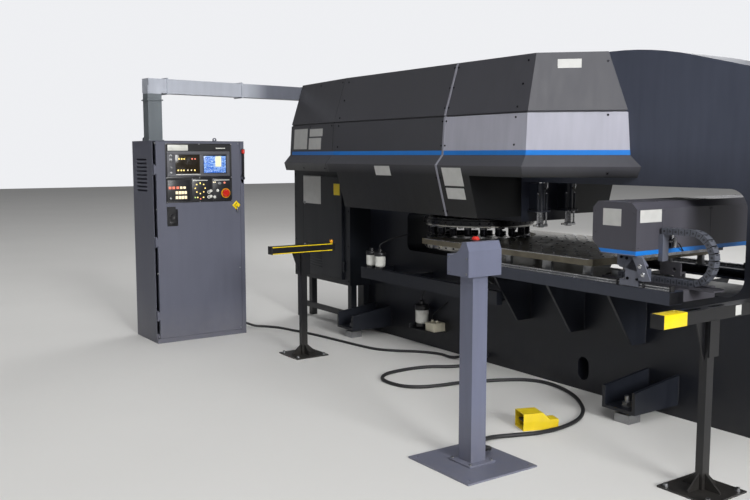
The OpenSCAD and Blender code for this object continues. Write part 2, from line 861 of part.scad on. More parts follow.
module hinge_pins(x, y, dx, dy, heights) {
    for (z = heights) translate([x, y, z]) {
        cylinder(r = hinge_pin, h = knuckle_h + 20);
        for (k = [0, knuckle_h + 10]) translate([0, 0, k]) {
            cylinder(r = knuckle_r, h = 10);
            block([min(0, dx), min(0, dy), 0], [max(0, dx), max(0, dy), 10]);
        }
    }
}

module knuckles(x, y, dx, dy, heights) {
    for (z = heights) translate([x, y, z + 10.5]) difference() {
        union() {
            cylinder(r = knuckle_r, h = knuckle_h - 1);
            block([min(0, dx), min(0, dy), 0], [max(0, dx), max(0, dy), knuckle_h - 1]);
        }
        translate([0, 0, -eps]) cylinder(r = hinge_pin + fit, h = knuckle_h + 2 * eps);
    }
}

// Hydraulic box: an L-shaped case in front of and beside the frame's left end
hyd_back = 450;
wall = 4;

module hyd_plan(t) {
    y0 = -hyd_y + t;
    polygon([[-hyd_x0 + t, y0], [-hyd_x1 - t, y0], [-hyd_x1 - t, -half_w - t], [-frame_left - t, -half_w - t],
        [-frame_left - t, hyd_back - t], [-hyd_x0 + t, hyd_back - t]]);
}

door_x0 = -2060;
door_x1 = -1340;
door_z0 = hyd_z0 + 50;
door_z1 = hyd_z1 - 50;
hyd_hinge_x = door_x1 + 12;
hyd_hinge_y = -hyd_y - 12;
hyd_hinges = [door_z0 + 80, door_z1 - 170];

module hydraulic_box() {
    color(navy) {
        difference() {
            translate([0, 0, hyd_z0]) linear_extrude(hyd_z1 - hyd_z0) hyd_plan(0);
            translate([0, 0, hyd_z0 + wall]) linear_extrude(hyd_z1 - hyd_z0 - 2 * wall) hyd_plan(wall);
            block([door_x0 + 20, -hyd_y - eps, door_z0 + 20], [door_x1 - 20, -hyd_y + wall + eps,
                door_z1 - 20]);
        }
        // stand under the box
        for (x = [-hyd_x0 + 10, -hyd_x1 - 70], y = [-hyd_y + 20, -half_w - 74])
            block([x, y, 0], [x + 60, y + 60, hyd_z0]);
        for (x = [-hyd_x0 + 10, -frame_left - 90]) block([x, hyd_back - 80, 0],
            [x + 60, hyd_back - 20, hyd_z0]);
        block([-hyd_x0 + 70, -hyd_y + 25, 120], [-hyd_x1 - 70, -hyd_y + 55, 170]);
        hinge_pins(hyd_hinge_x, hyd_hinge_y, 20, 12, hyd_hinges);
    }
}

module hydraulic_door() {
    color(navy) difference() {
        union() {
            block([door_x0, -hyd_y - 22, door_z0], [door_x1, -hyd_y - 0.5, door_z1]);
            knuckles(hyd_hinge_x, hyd_hinge_y, -20, 9, hyd_hinges);
        }
        block([door_x0 + wall, -hyd_y - 19, door_z0 + wall], [door_x1 - wall, -hyd_y, door_z1 - wall]);
    }
}

// Oil tank with the pump's motor, inside the hydraulic box
module hydraulic_unit() {
    z = hyd_z0 + wall;
    color(steel) {
        block([-2200, -380, z], [-1560, 300, z + 420]);
        translate([-1900, 0, z + 420]) {
            cylinder(r = 130, h = 20);
            cylinder(r = 110, h = 330);
            cylinder(r = 60, h = 370);
        }
        block([-1720, -180, z + 420], [-1620, 120, z + 560]);
    }
}

// Oil reservoir with cap and bowl
module reservoir(x, y, z, r, h) {
    translate([x, y, z]) {
        cylinder(r = r * 0.8, h = h * 0.12);
        translate([0, 0, h * 0.12]) cylinder(r = r, h = h * 0.6);
        translate([0, 0, h * 0.72]) cylinder(r = r * 1.08, h = h * 0.2);
        translate([0, 0, h * 0.92]) cylinder(r = r * 0.35, h = h * 0.08);
    }
}

module oil_reservoirs() {
    color(white) {
        for (x = [-770, -640]) reservoir(x, -567, 660, 52, 190);
        reservoir(-330, -half_w - 80, 180, 62, 240);
        block([-420, -half_w - 150, 160], [-90, -half_w, 180]);
        block([-230, -half_w - 120, 180], [-110, -half_w, 260]);
    }
}

// Control cabinet
cab_x0 = -cab_x - cab_d;
cab_y0 = -cab_y - cab_w;
door_t = 25;
front = -cab_x - door_t;
cab_door_y0 = cab_y0 + 24;
cab_door_y1 = -cab_y - 40;
cab_hinge_x = -cab_x - 9;
cab_hinge_y = cab_y0 + 11;
cab_hinges = [200, 850, 1480];
panel_y0 = -2073;
panel_y1 = -1452;
panel_z0 = cab_h - 538;
panel_z1 = cab_h - 24;
key_z = cab_h - 578;
panel_x = -cab_x + 8;

module cabinet_shell() {
    color(cabinet_grey) {
        difference() {
            block([cab_x0, cab_y0, 0], [front, -cab_y, cab_h]);
            block([cab_x0 + wall, cab_y0 + wall, 80], [front + eps, -cab_y - wall, cab_h - wall]);
            block([cab_x0 + 30, cab_y0 + 30, -eps], [front - 30, -cab_y - 30, 70]);
            // louvred outlet of the fan, in the side wall
            for (i = [0:8]) block([cab_x0 + 101, cab_y0 - eps, 1330 + 34 * i],
                [cab_x0 + 351, cab_y0 + wall + eps, 1346 + 34 * i]);
            translate([duct_x, duct_y, cab_h - wall - eps]) cylinder(r = 45, h = wall + 2 * eps);
        }
        // front strip beside the door, plinth and head rail
        block([front, cab_door_y1 + 2, 0], [-cab_x, -cab_y, cab_h]);
        block([front, cab_y0, 0], [-cab_x, cab_door_y1 + 2, 40]);
        hinge_pins(cab_hinge_x, cab_hinge_y, -20, -11, cab_hinges);
        // gland of the cable to the machine
        translate([cable_x, -cab_y - eps, gland_z]) rotate([-90, 0, 0]) cylinder(r = 18, h = gland_l + eps);
        // ears and pin of the main switch's handle
        for (s = [-1, 1]) block([-cab_x, handle_y + s * 11 - 3, handle_z - 12],
            [handle_x + 8, handle_y + s * 11 + 3, handle_z + 12]);
        translate([handle_x, handle_y + 12, handle_z]) rotate([90, 0, 0]) cylinder(r = 5, h = 24);
        for (s = [-1, 1]) translate([cab_x0 + 80, -cab_y - cab_w / 2 + s * 340, cab_h])
            plate_yz(-6, 6) difference() {
                union() {
                    translate([-18, 0]) square([36, 18]);
                    translate([0, 18]) circle(18);
                }
                translate([0, 20]) circle(9);
            }
    }
}

module cabinet_door() {
    color(cabinet_grey) {
        difference() {
            block([front + 0.5, cab_door_y0, 42], [-cab_x, cab_door_y1, cab_h - 6]);
            block([front, cab_door_y0 + wall, 42 + wall], [-cab_x - 3, cab_door_y1 - wall, cab_h - 6 - wall]);
            block([front, panel_y0 + 15, panel_z0 + 15], [-cab_x + eps, panel_y1 - 15, panel_z1 - 15]);
        }
        knuckles(cab_hinge_x, cab_hinge_y, 9, 14, cab_hinges);
    }
}

// A place on the panel, in millimetres from its lower left corner
module on_panel(y, z) {
    translate([panel_x, panel_y0 + y, panel_z0 + z]) children();
}

module operator_panel() {
    color(black) {
        difference() {
            block([-cab_x, panel_y0, panel_z0], [panel_x, panel_y1, panel_z1]);
            on_panel(558, 72) rotate([0, 90, 0]) translate([0, 0, -20]) cylinder(r = 14 + fit, h = 40);
            for (z = [48, 96]) on_panel(410, z) rotate([0, 90, 0]) translate([0, 0, -20]) cylinder(r =
                9 + fit, h = 40);
        }
        // outlet plate below the panel
        block([-cab_x, -2070, key_z - 146], [-cab_x + 6, -1992, key_z + 4]);
        // backing plate of the key switch
        translate([-cab_x, cab_door_y1 - 44, key_z]) plate_yz(0, 6) difference() {
            rotate(45) square(54, center = true);
            circle(7 + fit);
        }
    }
}

module panel_screens() {
    color(navy) {
        on_panel(88, 268) cube([3, 228, 172]);
        on_panel(349, 268) cube([3, 227, 172]);
    }
}

module panel_keys() {
    color(white) {
        for (k = [0:4]) on_panel(30 + 33 * k, 142) cube([5, 22, 20]);
        for (r = [0, 1], k = [0:3]) on_panel(84 + 29 * k, 50 + 43 * r) cube([5, 20, 26]);
        for (a = [0:45:315]) on_panel(328 + 46 * cos(a), 132 + 46 * sin(a)) rotate([0, 90, 0])
            cylinder(r = 8, h = 5);
        for (y = [270, 296, 350, 466]) on_panel(y, 46) rotate([0, 90, 0]) cylinder(r = 9, h = 5);
        for (z = [332, 362, 402, 432]) on_panel(46, z) rotate([0, 90, 0]) cylinder(r = 9, h = 7);
    }
}

module stop_button() {
    color(red) on_panel(558, 72) rotate([0, 90, 0]) {
        translate([0, 0, -16]) cylinder(r = 14, h = 26);
        translate([0, 0, 10]) cylinder(r = 34, h = 8);
        translate([0, 0, 18]) cylinder(r1 = 34, r2 = 24, h = 10);
    }
}

module key_switch() {
    color(red) translate([-cab_x, cab_door_y1 - 44, key_z]) {
        rotate([0, 90, 0]) translate([0, 0, 0.5]) cylinder(r = 7, h = 12);
        rotate([0, 90, 0]) translate([0, 0, 6.5]) cylinder(r = 15, h = 12);
        block([18.5, -4, -14], [32, 4, 14]);
    }
}

// Push button with a collar that guides it
module push_button(z) {
    color(white) on_panel(410, z) rotate([0, 90, 0]) {
        translate([0, 0, -14]) cylinder(r = 9, h = 24);
        translate([0, 0, 8]) cylinder(r = 13, h = 6);
    }
}

module push_button_a() {
    push_button(48);
}

module push_button_b() {
    push_button(96);
}

handle_z = cab_h - 334;
cable_x = cab_x0 + 351;
handle_y = -cab_y - 19;
handle_x = -cab_x + 22;

module main_switch_handle() {
    color(black) difference() {
        union() {
            plate_xz(handle_y - 7, handle_y + 7) {
                translate([handle_x, handle_z]) circle(14);
                polygon([[handle_x - 10, handle_z], [handle_x + 12, handle_z],
                    [handle_x + 16, handle_z + 245],
                    [handle_x - 4, handle_z + 245]]);
            }
            translate([handle_x + 6, handle_y, handle_z + 225]) cylinder(r = 13, h = 40);
        }
        translate([handle_x, handle_y + 10, handle_z]) rotate([90, 0, 0]) cylinder(r = 5 + fit, h = 20);
    }
}

// Square wire duct: riser on the cabinet, overhead run and the turn into the head cover
module duct_solid(w, low) {
    translate([duct_x - w / 2, duct_y - w / 2, cab_h - low]) cube([w, w, duct_z - cab_h + low]);
    duct_frame() block([-w / 2, -w / 2, -w / 2], [w / 2, duct_len + w / 2, w / 2]);
    duct_bore(w);
}

module duct() {
    color(galvanised) difference() {
        union() {
            duct_solid(duct_w, 0);
            for (z = [cab_h, duct_z - 130]) translate([duct_x - duct_w / 2 - 10, duct_y - duct_w / 2 - 10, z])
                cube([duct_w + 20, duct_w + 20, 10]);
            duct_frame() for (y = [110, duct_len * 0.5, duct_len - 120])
                block([-duct_w / 2 - 10, y, -duct_w / 2 - 10], [duct_w / 2 + 10, y + 12, duct_w / 2 + 10]);
        }
        duct_solid(duct_w - 6, eps);
        translate([-crease_x, -half_w, 0]) rotate(-crease_deg) block([-left_len, -340, 0], [far, far, far]);
    }
}

// Floor controls
ped_base = [500, 480];
ped_head = [172, 226];
ped_head_h = 180;
button_x = 8;

// Side of the pedestal's head, with the round hollow towards the operator
module head_outline() {
    w = ped_head[0] / 2;
    difference() {
        translate([0, -ped_head_h])
            polygon([[-w, 0], [w, 0], [w, ped_head_h - 45], [w - 20, ped_head_h], [-w, ped_head_h]]);
        translate([-w + 22, 28]) circle(101);
    }
}

module pedestal() {
    color(lilac_grey) translate([ped_x, -ped_y, 0]) difference() {
        union() {
            translate([-ped_base[0] / 2, -ped_base[1] / 2, 0]) cube([ped_base[0], ped_base[1], 10]);
            translate([-ped_w / 2, -ped_w / 2, 10]) cube([ped_w, ped_w, ped_h - ped_head_h - 10]);
            translate([0, 0, ped_h]) plate_xz(-ped_head[1] / 2, ped_head[1] / 2) head_outline();
            translate([button_x, 0, ped_h - 80]) cylinder(r = 14, h = 70);
            // gland of the floor cord, in the post's far side
            translate([0, ped_w / 2 - eps, gland_z]) rotate([-90, 0, 0]) cylinder(r = 20, h = gland_l + eps);
        }
        translate([button_x, 0, ped_h - 90]) cylinder(r = 8 + fit, h = 100);
        for (x = [-1, 1], y = [-1, 1]) translate([x * (ped_base[0] / 2 - 35), y * (ped_base[1] / 2 - 35),
            -eps])
            cylinder(r = 8, h = 10 + 2 * eps);
    }
}

module pedestal_button() {
    color(red) translate([ped_x + button_x, -ped_y, 0]) {
        translate([0, 0, ped_h - 60]) cylinder(r = 8, h = 62);
        translate([0, 0, ped_h + 2]) cylinder(r = 21, h = 9);
        translate([0, 0, ped_h + 11]) cylinder(r1 = 21, r2 = 12, h = 11);
    }
}

foot_at = [1827, -1168];
foot_turn = 70;
pedal_pin = [62, 0, 34];

module foot_frame() {
    translate([foot_at[0], foot_at[1], 0]) rotate(foot_turn) children();
}

module foot_switch_base() {
    color(yellow) foot_frame() {
        block([-60, -63, 0], [160, 63, 6]);
        difference() {
            plate_xz(-63, 63) polygon([[-80, 0], [92, 0], [92, 58], [48, pedal_h], [-80, pedal_h]]);
            plate_xz(-60, 60) polygon([[-81, 6], [89, 6], [89, 56], [47, pedal_h - 3], [-81, pedal_h - 3]]);
        }
        block([92, -40, 6], [160, 40, 52]);
        translate([160, 0, 28]) rotate([0, 90, 0]) cylinder(r = 15, h = 16);
        for (s = [-1, 1]) block([pedal_pin[0] - 9, s * 55 - 5, 6], [pedal_pin[0] + 9, s * 55 + 5,
            pedal_pin[2] + 8]);
        translate([pedal_pin[0], 56, pedal_pin[2]]) rotate([90, 0, 0]) cylinder(r = 4, h = 112);
    }
}

module foot_pedal() {
    color(black) foot_frame() difference() {
        union() {
            plate_xz(-48, 48) polygon([[-62, 44], [62, 26], [70, 30], [70, 38], [-62, 56]]);
            translate([pedal_pin[0], 48, pedal_pin[2]]) rotate([90, 0, 0]) cylinder(r = 10, h = 96);
        }
        translate([pedal_pin[0], 60, pedal_pin[2]]) rotate([90, 0, 0]) cylinder(r = 4 + fit, h = 120);
    }
}

// Tube swept along a smooth line through hand-chosen points
cord_d = 25;
cable_d = 22;

function spline(a, b, c, d, t) = 0.5 * ((2 * b) + (c - a) * t + (2 * a - 5 * b + 4 * c - d) * t * t
    + (3 * b - a - 3 * c + d) * t * t * t);
function smooth(p, k) = concat([for (i = [0:len(p) - 2], j = [0:k - 1])
    spline(p[max(i - 1, 0)], p[i], p[i + 1], p[min(i + 2, len(p) - 1)], j / k)], [p[len(p) - 1]]);

module tube(p, r) {
    n = len(p);
    m = 8;
    tangent = [for (i = [0:n - 1]) unit(p[min(i + 1, n - 1)] - p[max(i - 1, 0)])];
    side = [for (t = tangent) let (s = cross(t, [0.01, 0.02, 1])) s / norm(s)];
    rings = [for (i = [0:n - 1], k = [0:m - 1]) let (a = 360 * k / m, up = cross(side[i], tangent[i]))
        p[i] + r * (side[i] * cos(a) + up * sin(a))];
    walls = [for (i = [0:n - 2], k = [0:m - 1], h = [0, 1]) let (a = i * m + k, b = i * m + (k + 1) % m)
        h == 0 ? [a, b, b + m] : [a, b + m, a + m]];
    polyhedron(rings, concat([[for (k = [m - 1:-1:0]) k]], walls, [[for (k = [0:m - 1]) (n - 1) * m + k]]));
}

floor_route = [[420, -290.3, 60], [420, -315, 60], [420, -340, 60], [424, -430, 28], [430, -530, 14],
    [395, -640, 13],
    [320, -755, 13],
    [283, -900, 13], [281, -1050, 13], [310, -1180, 13], [400, -1275, 13], [530, -1300, 13], [660, -1268, 13],
    [745, -1180, 13], [790, -1040, 13], [815, -880, 13], [870, -720, 13], [940, -560, 13], [1030, -430, 13],
    [1160, -370, 13], [1330, -385, 13], [1500, -450, 13], [1650, -545, 13], [1800, -680, 13], [1910,
        -850, 13],
    [1962, -1050, 13], [1955, -1240, 13], [1900, -1400, 13], [1868, -1530, 16], [1900, -1640, 25], [1980,
        -1690, 26],
    [2050, -1712, 38], [2085, -1755, 60], [2085, -1775, 60], [2085, -1792.7, 60]];

module floor_cord() {
    color(black) tube(smooth(floor_route, 2), cord_d / 2);
}

cable_route = [[-1900, -1298.7, 60], [-1900, -1275, 60], [-1900, -1250, 60], [-1890, -1160, 24],
    [-1840, -1060, 12], [-1720,
    -985, 12],
    [-1540, -940, 12], [-1330, -890, 12], [-1080, -850, 12], [-850, -820, 12], [-620, -790, 12], [-430,
        -745, 12],
    [-280, -640, 12], [-150, -510, 12], [10, -420, 12], [150, -425, 14], [240, -408, 30],
    [290, -345, 60], [290, -318, 60],
    [290, -290.3, 60]];

module control_cable() {
    color(black) tube(smooth(cable_route, 2), cable_d / 2);
}

// Light guard stand with its bar along Y; the bar's centre line lies beside the post's
bar_w = 70;
bar_h = 62;
bar_t = 4;
bar_side = 8;
post_x = 42;
post_y = 54;

module guard_stand(x, y, y0, y1) {
    under = guard_z - bar_h;
    bar_x = x - bar_side;
    translate([x, y, 0]) {
        difference() {
            translate([-150, -150, 0]) cube([300, 300, 10]);
            for (a = [-1, 1], b = [-1, 1]) translate([a * 120, b * 120, -eps])
                cylinder(r = 9, h = 10 + 2 * eps);
        }
        translate([-post_x / 2, -post_y / 2, 10]) cube([post_x, post_y, under - 10]);
        for (s = [0, 180]) rotate(s) {
            plate_xz(-4, 4) polygon([[post_x / 2, 10], [105, 10], [105, 18], [post_x / 2, 90]]);
            plate_yz(-4, 4) polygon([[post_y / 2, 10], [110, 10], [110, 18], [post_y / 2, 90]]);
        }
        plate_yz(-4, 4) polygon([[-post_y / 2, under - 200], [-post_y / 2, under], [-100, under]]);
        block([post_x / 2, -22, under - 180], [post_x / 2 + 8, 52, under]);
    }
    difference() {
        block([bar_x - bar_w / 2, y0, under], [bar_x + bar_w / 2, y1, guard_z]);
        block([bar_x - bar_w / 2 + bar_t, y0 - eps, under + bar_t],
            [bar_x + bar_w / 2 - bar_t, y1 + eps, guard_z - bar_t]);
        for (k = [0, 1]) translate([bar_x, y0 + 260 + 190 * k, guard_z - bar_t - eps])
            linear_extrude(bar_t + 2 * eps)
            round_rect(-14, -60, 14, 60, 13.9);
    }
    // closed end blocks
    for (e = [y0, y1 - 40]) block([bar_x - bar_w / 2 + bar_t, e, under + bar_t],
        [bar_x + bar_w / 2 - bar_t, e + 40, guard_z - bar_t]);
}

module guard_stand_right() {
    color(black) guard_stand(3026, -1190, -1570, -700);
}

module guard_stand_left() {
    color(black) {
        guard_stand(-660, -1330, -1625, -1030);
        translate([-660 - bar_side, -1050, guard_z]) cylinder(r = 12, h = 34);
    }
}

bridge_frame();
levelling_feet();
rail_beams();
linear_rails();
frame_brackets();
chain_tray();
front_table();
centre_table();
rear_table();
table_legs();
ball_transfers();
front_cover_left();
front_cover_right();
cover_joint_strip();
cover_stripe();
rear_cover();
ram_cylinder();
ram();
upper_turret();
upper_turret_motor();
punch_holders();
lower_turret();
lower_turret_motor();
die_holders();
holder_cylinders();
front_holder_pad();
rear_holder_pad();
carriage_beam();
carriage_cover();
carriage_brackets();
carriage_stripe();
cross_slide();
clamp_bodies();
clamp_jaw_a();
clamp_jaw_b();
clamp_jaw_c();
drag_chain();
hydraulic_box();
hydraulic_door();
hydraulic_unit();
oil_reservoirs();
cabinet_shell();
cabinet_door();
operator_panel();
panel_screens();
panel_keys();
stop_button();
key_switch();
push_button_a();
push_button_b();
main_switch_handle();
duct();
pedestal();
pedestal_button();
foot_switch_base();
foot_pedal();
floor_cord();
control_cable();
guard_stand_right();
guard_stand_left();
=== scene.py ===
# %% [markdown]
# # A turret punch press, dressed in cells
# A turret punch press cuts holes in sheet metal: two turrets of tools turn under a ram, and a carriage
# with clamps moves the sheet between them. The solids of this machine come from a CAD model. They are
# loaded as a fixed frame, and each cell below adds one finish or one piece to them. Lengths in the cells
# are in millimetres, as on a drawing, and one factor turns them into Blender's metres.

# %% Load the frame
import math

import bmesh
import bpy
from mathutils import Matrix, Vector


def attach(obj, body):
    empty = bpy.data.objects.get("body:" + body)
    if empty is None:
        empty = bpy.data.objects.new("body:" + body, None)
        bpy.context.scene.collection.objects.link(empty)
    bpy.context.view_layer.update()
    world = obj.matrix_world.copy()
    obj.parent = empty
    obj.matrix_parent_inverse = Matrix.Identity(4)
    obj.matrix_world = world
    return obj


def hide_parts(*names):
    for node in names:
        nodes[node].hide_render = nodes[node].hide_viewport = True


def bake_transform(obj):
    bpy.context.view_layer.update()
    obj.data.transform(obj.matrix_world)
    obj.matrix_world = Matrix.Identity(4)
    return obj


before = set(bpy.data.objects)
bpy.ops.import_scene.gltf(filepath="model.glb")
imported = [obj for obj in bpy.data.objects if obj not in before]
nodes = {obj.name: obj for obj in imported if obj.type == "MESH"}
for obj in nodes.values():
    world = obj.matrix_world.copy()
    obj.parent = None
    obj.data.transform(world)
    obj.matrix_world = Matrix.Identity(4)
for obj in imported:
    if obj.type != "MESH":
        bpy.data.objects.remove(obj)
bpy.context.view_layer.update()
MM = 0.001

# %% [markdown]
# ## Camera
# The photograph was taken at eye height, about seven metres from the turrets, with a normal lens. The
# place and the angles were worked out from the vanishing points of the frame's long edges, so that the
# render lies on the picture.

# %% Camera at the photograph's place
eye = Vector((5.527, -4.884, 1.650))
view_turn = math.radians(55.35)
view_fall = math.radians(6.23)
camera_data = bpy.data.cameras.new("camera")
camera_data.sensor_width = 36.0
camera_data.lens = 41.76
camera = bpy.data.objects.new("camera", camera_data)
bpy.context.scene.collection.objects.link(camera)
camera.rotation_euler = (math.pi / 2 - view_fall, 0.0, view_turn)
camera.location = eye
camera_data.clip_end = 200.0
bpy.context.scene.camera = camera
bpy.context.scene.view_settings.view_transform = "Standard"
print("camera at", tuple(round(c, 3) for c in eye))

# %% [markdown]
# ## Small helpers
# One function turns the hex colours of a paint chart into the linear values that the shader wants, and
# one adds a node with its settings and links. Every tree in the file, of a finish or of a shape, is
# written with these two. The slow change of a colour and the fine relief of a surface come back in every
# finish, so they are functions as well.

# %% Colour and node helpers
def paint_chip(code):
    """Linear RGBA of a hex colour such as 4A5060."""
    parts = [int(code[i:i + 2], 16) / 255 for i in (0, 2, 4)]
    return [p / 12.92 if p <= 0.04045 else ((p + 0.055) / 1.055) ** 2.4 for p in parts] + [1.0]


def put(tree, kind, inputs=None, out=None, **settings):
    """Adds a node, sets its properties, then fills or links its inputs that are in use.

    Returns the node, or the output in use that is named."""
    made = tree.nodes.new(kind)
    for key, value in settings.items():
        setattr(made, key, value)
    for key, value in (inputs or {}).items():
        if isinstance(key, int):
            socket = made.inputs[key]
        else:
            socket = next(s for s in made.inputs if s.name == key and s.enabled)
        if isinstance(value, bpy.types.NodeSocket):
            tree.links.new(value, socket)
        else:
            socket.default_value = value
    return next(s for s in made.outputs if s.name == out and s.enabled) if out else made


def new_finish(name, **sockets):
    """A material with its Principled shader set from values by socket name."""
    made = bpy.data.materials.new(name)
    made.use_nodes = True
    shader = made.node_tree.nodes["Principled BSDF"]
    for key, value in sockets.items():
        shader.inputs[key.replace("_", " ")].default_value = value
    return made, made.node_tree, shader


print("paint chip 4B5060 is", [round(c, 3) for c in paint_chip("4B5060")])


# %% Helpers that make up a finish
def stretched(tree, scale):
    """Object coordinates with each axis scaled, for streaks and brushed lines."""
    at = put(tree, "ShaderNodeTexCoord", out="Object")
    return put(tree, "ShaderNodeMapping", {"Vector": at, "Scale": scale}, "Vector")


def toned(tree, colour, cloud, start, end, tone):
    """A colour that a cloud darkens and lightens by a share."""
    level = put(tree, "ShaderNodeMapRange", {"Value": cloud, "From Min": start, "From Max": end,
                                             "To Min": 1.0 - tone, "To Max": 1.0 + tone}, "Result")
    grey = put(tree, "ShaderNodeCombineColor", {"Red": level, "Green": level, "Blue": level}, "Color")
    return put(tree, "ShaderNodeMix", {"Factor": 1.0, "A": colour, "B": grey}, "Result",
               data_type="RGBA", blend_type="MULTIPLY")


def surface(tree, shader, colour, gloss, relief, strength, depth_mm):
    """Links a colour, a roughness and a fine relief to a finish."""
    tree.links.new(colour, shader.inputs["Base Color"])
    tree.links.new(gloss, shader.inputs["Roughness"])
    bump = put(tree, "ShaderNodeBump", {"Height": relief, "Strength": strength,
                                        "Distance": depth_mm * MM}, "Normal")
    tree.links.new(bump, shader.inputs["Normal"])


def waves(size_mm):
    """Noise scale whose grains are about as large as a size in millimetres."""
    return 1000 / size_mm / 2


print("a peel of 2.5 mm is noise of scale", waves(2.5))

# %% [markdown]
# ## Painted steel
# Most of the machine is sheet and plate steel with a sprayed two-pack paint. Sprayed paint is never quite
# even: it has a fine orange peel of a millimetre or two, a slow change of tone over half a metre, faint
# streaks where it was wiped, and dust and scuffs near the floor. Each of these is one noise texture at
# its real size. Shade is painted in too: the frame's blue grey is painted darker to navy low down, and
# the head covers, charcoal with a fine texture, are painted near black below their fold.

# %% Function for painted steel
scuff_chip, dust_chip, dust_top = "8A8C92", "8B857A", 0.34


def painted(name, chip, roughness=0.42, peel_mm=2.5, peel=0.12, tone=0.16, scuff=0.0, dust=0.0, painted_shade=None,
            band=None):
    """Sprayed paint: tone, streaks, orange peel, and optional scuffs, dust, a painted shade and a band."""
    made, tree, shader = new_finish(name)
    at = put(tree, "ShaderNodeTexCoord", out="Object")
    height = put(tree, "ShaderNodeSeparateXYZ", {"Vector": at}, "Z")
    # The tone drifts over 60 cm, and the streaks are 5 cm wide and 40 cm high.
    slow = put(tree, "ShaderNodeTexNoise", {"Vector": at, "Scale": 1.7, "Detail": 3.0}, "Fac")
    streaks = put(tree, "ShaderNodeTexNoise", {"Vector": stretched(tree, (9.0, 9.0, 1.1)), "Scale": 2.2,
                                               "Detail": 4.0}, "Fac")
    cloud = put(tree, "ShaderNodeMath", {0: slow, 1: streaks}, "Value", operation="ADD")
    colour = paint_chip(chip)
    # Painted shade: a darker colour that fades in along one axis, so that the part reads shaded low down or
    # far along.
    if painted_shade:
        other, axis, start, end = painted_shade
        where = put(tree, "ShaderNodeSeparateXYZ", {"Vector": at}, axis)
        shade_share = put(tree, "ShaderNodeMapRange", {"Value": where, "From Min": start, "From Max": end}, "Result")
        colour = put(tree, "ShaderNodeMix", {"Factor": shade_share, "A": paint_chip(other), "B": paint_chip(chip)},
                     "Result", data_type="RGBA")
    # A band of another colour between two heights: a real paint band on the covers, painted shade on the
    # duct's riser.
    if band:
        other, low, high = band
        over = put(tree, "ShaderNodeMath", {0: height, 1: low}, "Value", operation="GREATER_THAN")
        under = put(tree, "ShaderNodeMath", {0: height, 1: high}, "Value", operation="LESS_THAN")
        inside = put(tree, "ShaderNodeMath", {0: over, 1: under}, "Value", operation="MULTIPLY")
        colour = put(tree, "ShaderNodeMix", {"Factor": inside, "A": colour, "B": paint_chip(other)},
                     "Result", data_type="RGBA")
    colour = toned(tree, colour, cloud, 0.6, 1.4, tone)
    if scuff:  # flat marks, 5 cm long and 8 mm high
        mark = put(tree, "ShaderNodeTexNoise", {"Vector": stretched(tree, (2.0, 2.0, 14.0)), "Scale": 9.0,
                                                "Detail": 6.0, "Roughness": 0.7}, "Fac")
        keep = put(tree, "ShaderNodeMapRange", {"Value": mark, "From Min": 0.66, "From Max": 0.72,
                                                "To Max": scuff}, "Result")
        colour = put(tree, "ShaderNodeMix", {"Factor": keep, "A": colour, "B": paint_chip(scuff_chip)},
                     "Result", data_type="RGBA")
    if dust:  # clouds of 7 cm, which thin out upwards
        specks = put(tree, "ShaderNodeTexNoise", {"Vector": at, "Scale": 14.0, "Detail": 6.0}, "Fac")
        low_down = put(tree, "ShaderNodeMapRange", {"Value": height, "From Min": 0.0, "From Max": dust_top,
                                                    "To Min": 1.0, "To Max": 0.0}, "Result")
        film = put(tree, "ShaderNodeMath", {0: low_down, 1: specks}, "Value", operation="MULTIPLY")
        film = put(tree, "ShaderNodeMath", {0: film, 1: dust}, "Value", operation="MULTIPLY")
        colour = put(tree, "ShaderNodeMix", {"Factor": film, "A": colour, "B": paint_chip(dust_chip)},
                     "Result", data_type="RGBA")
    gloss = put(tree, "ShaderNodeMapRange", {"Value": cloud, "From Min": 0.6, "From Max": 1.4,
                                             "To Min": roughness - 0.06, "To Max": roughness + 0.08},
                "Result")
    skin = put(tree, "ShaderNodeTexNoise", {"Vector": at, "Scale": waves(peel_mm), "Detail": 1.0}, "Fac")
    surface(tree, shader, colour, gloss, skin, peel, 0.8)
    return made


# %% The paints
# Machine enamel over filler is smooth and half dull, with soft highlights on the bends.
# From 1.7 m down to 1.05 m the blue grey is painted darker to near-black navy: painted shade low on the
# frame.
frame_paint = painted("blue-grey machine enamel", "4B5060", 0.40, 3.0, 0.10, 0.14, scuff=0.08, dust=0.08,
                      painted_shade=("0B0F1A", "Z", 1.05, 1.7))
# Powder coat melts to a fine pebbled skin, which breaks reflections up into a dull sheen.
# Below the fold, from 1.58 m down to 1.50 m, both charcoal coats are painted near black: painted shade on the
# slope that faces down.
cover_paint = painted("charcoal textured powder coat", "434348", 0.42, 1.6, 0.2, 0.1,
                      painted_shade=("0B0C0F", "Z", 1.50, 1.58))
band_cover_paint = painted("charcoal powder coat with a silver band", "47474D", 0.40, 1.6, 0.2, 0.1,
                           painted_shade=("090A0C", "Z", 1.50, 1.58), band=("ACACB8", 1.683, 1.9325))
carriage_paint = painted("charcoal textured powder coat on the carriage", "4B4A52", 0.44, 1.6, 0.20, 0.10)
# Trim enamel is thin and smooth, so its colour stays clean and its highlight narrow.
strip_paint = painted("light grey trim enamel", "8C8C96", 0.38, 2.0, 0.08, 0.08)
band_paint = painted("sky blue trim enamel", "1F7AD2", 0.32, 2.0, 0.05, 0.06)
# A textured cabinet coat shows no reflections, only dust at its foot.
cabinet_paint = painted("slate textured cabinet coat", "575967", 0.48, 1.6, 0.22, 0.08, dust=0.25)
# Hammered enamel dries in small hollows, each with a little highlight of its own.
pedestal_paint = painted("lilac-grey hammered enamel", "686C80", 0.36, 2.5, 0.12, 0.10, scuff=0.08,
                         dust=0.35)
# Plain sheet enamel shows a faint orange peel where light grazes it.
box_paint = painted("navy sheet enamel", "0F131B", 0.44, 2.0, 0.12, 0.12, scuff=0.06, dust=0.12)
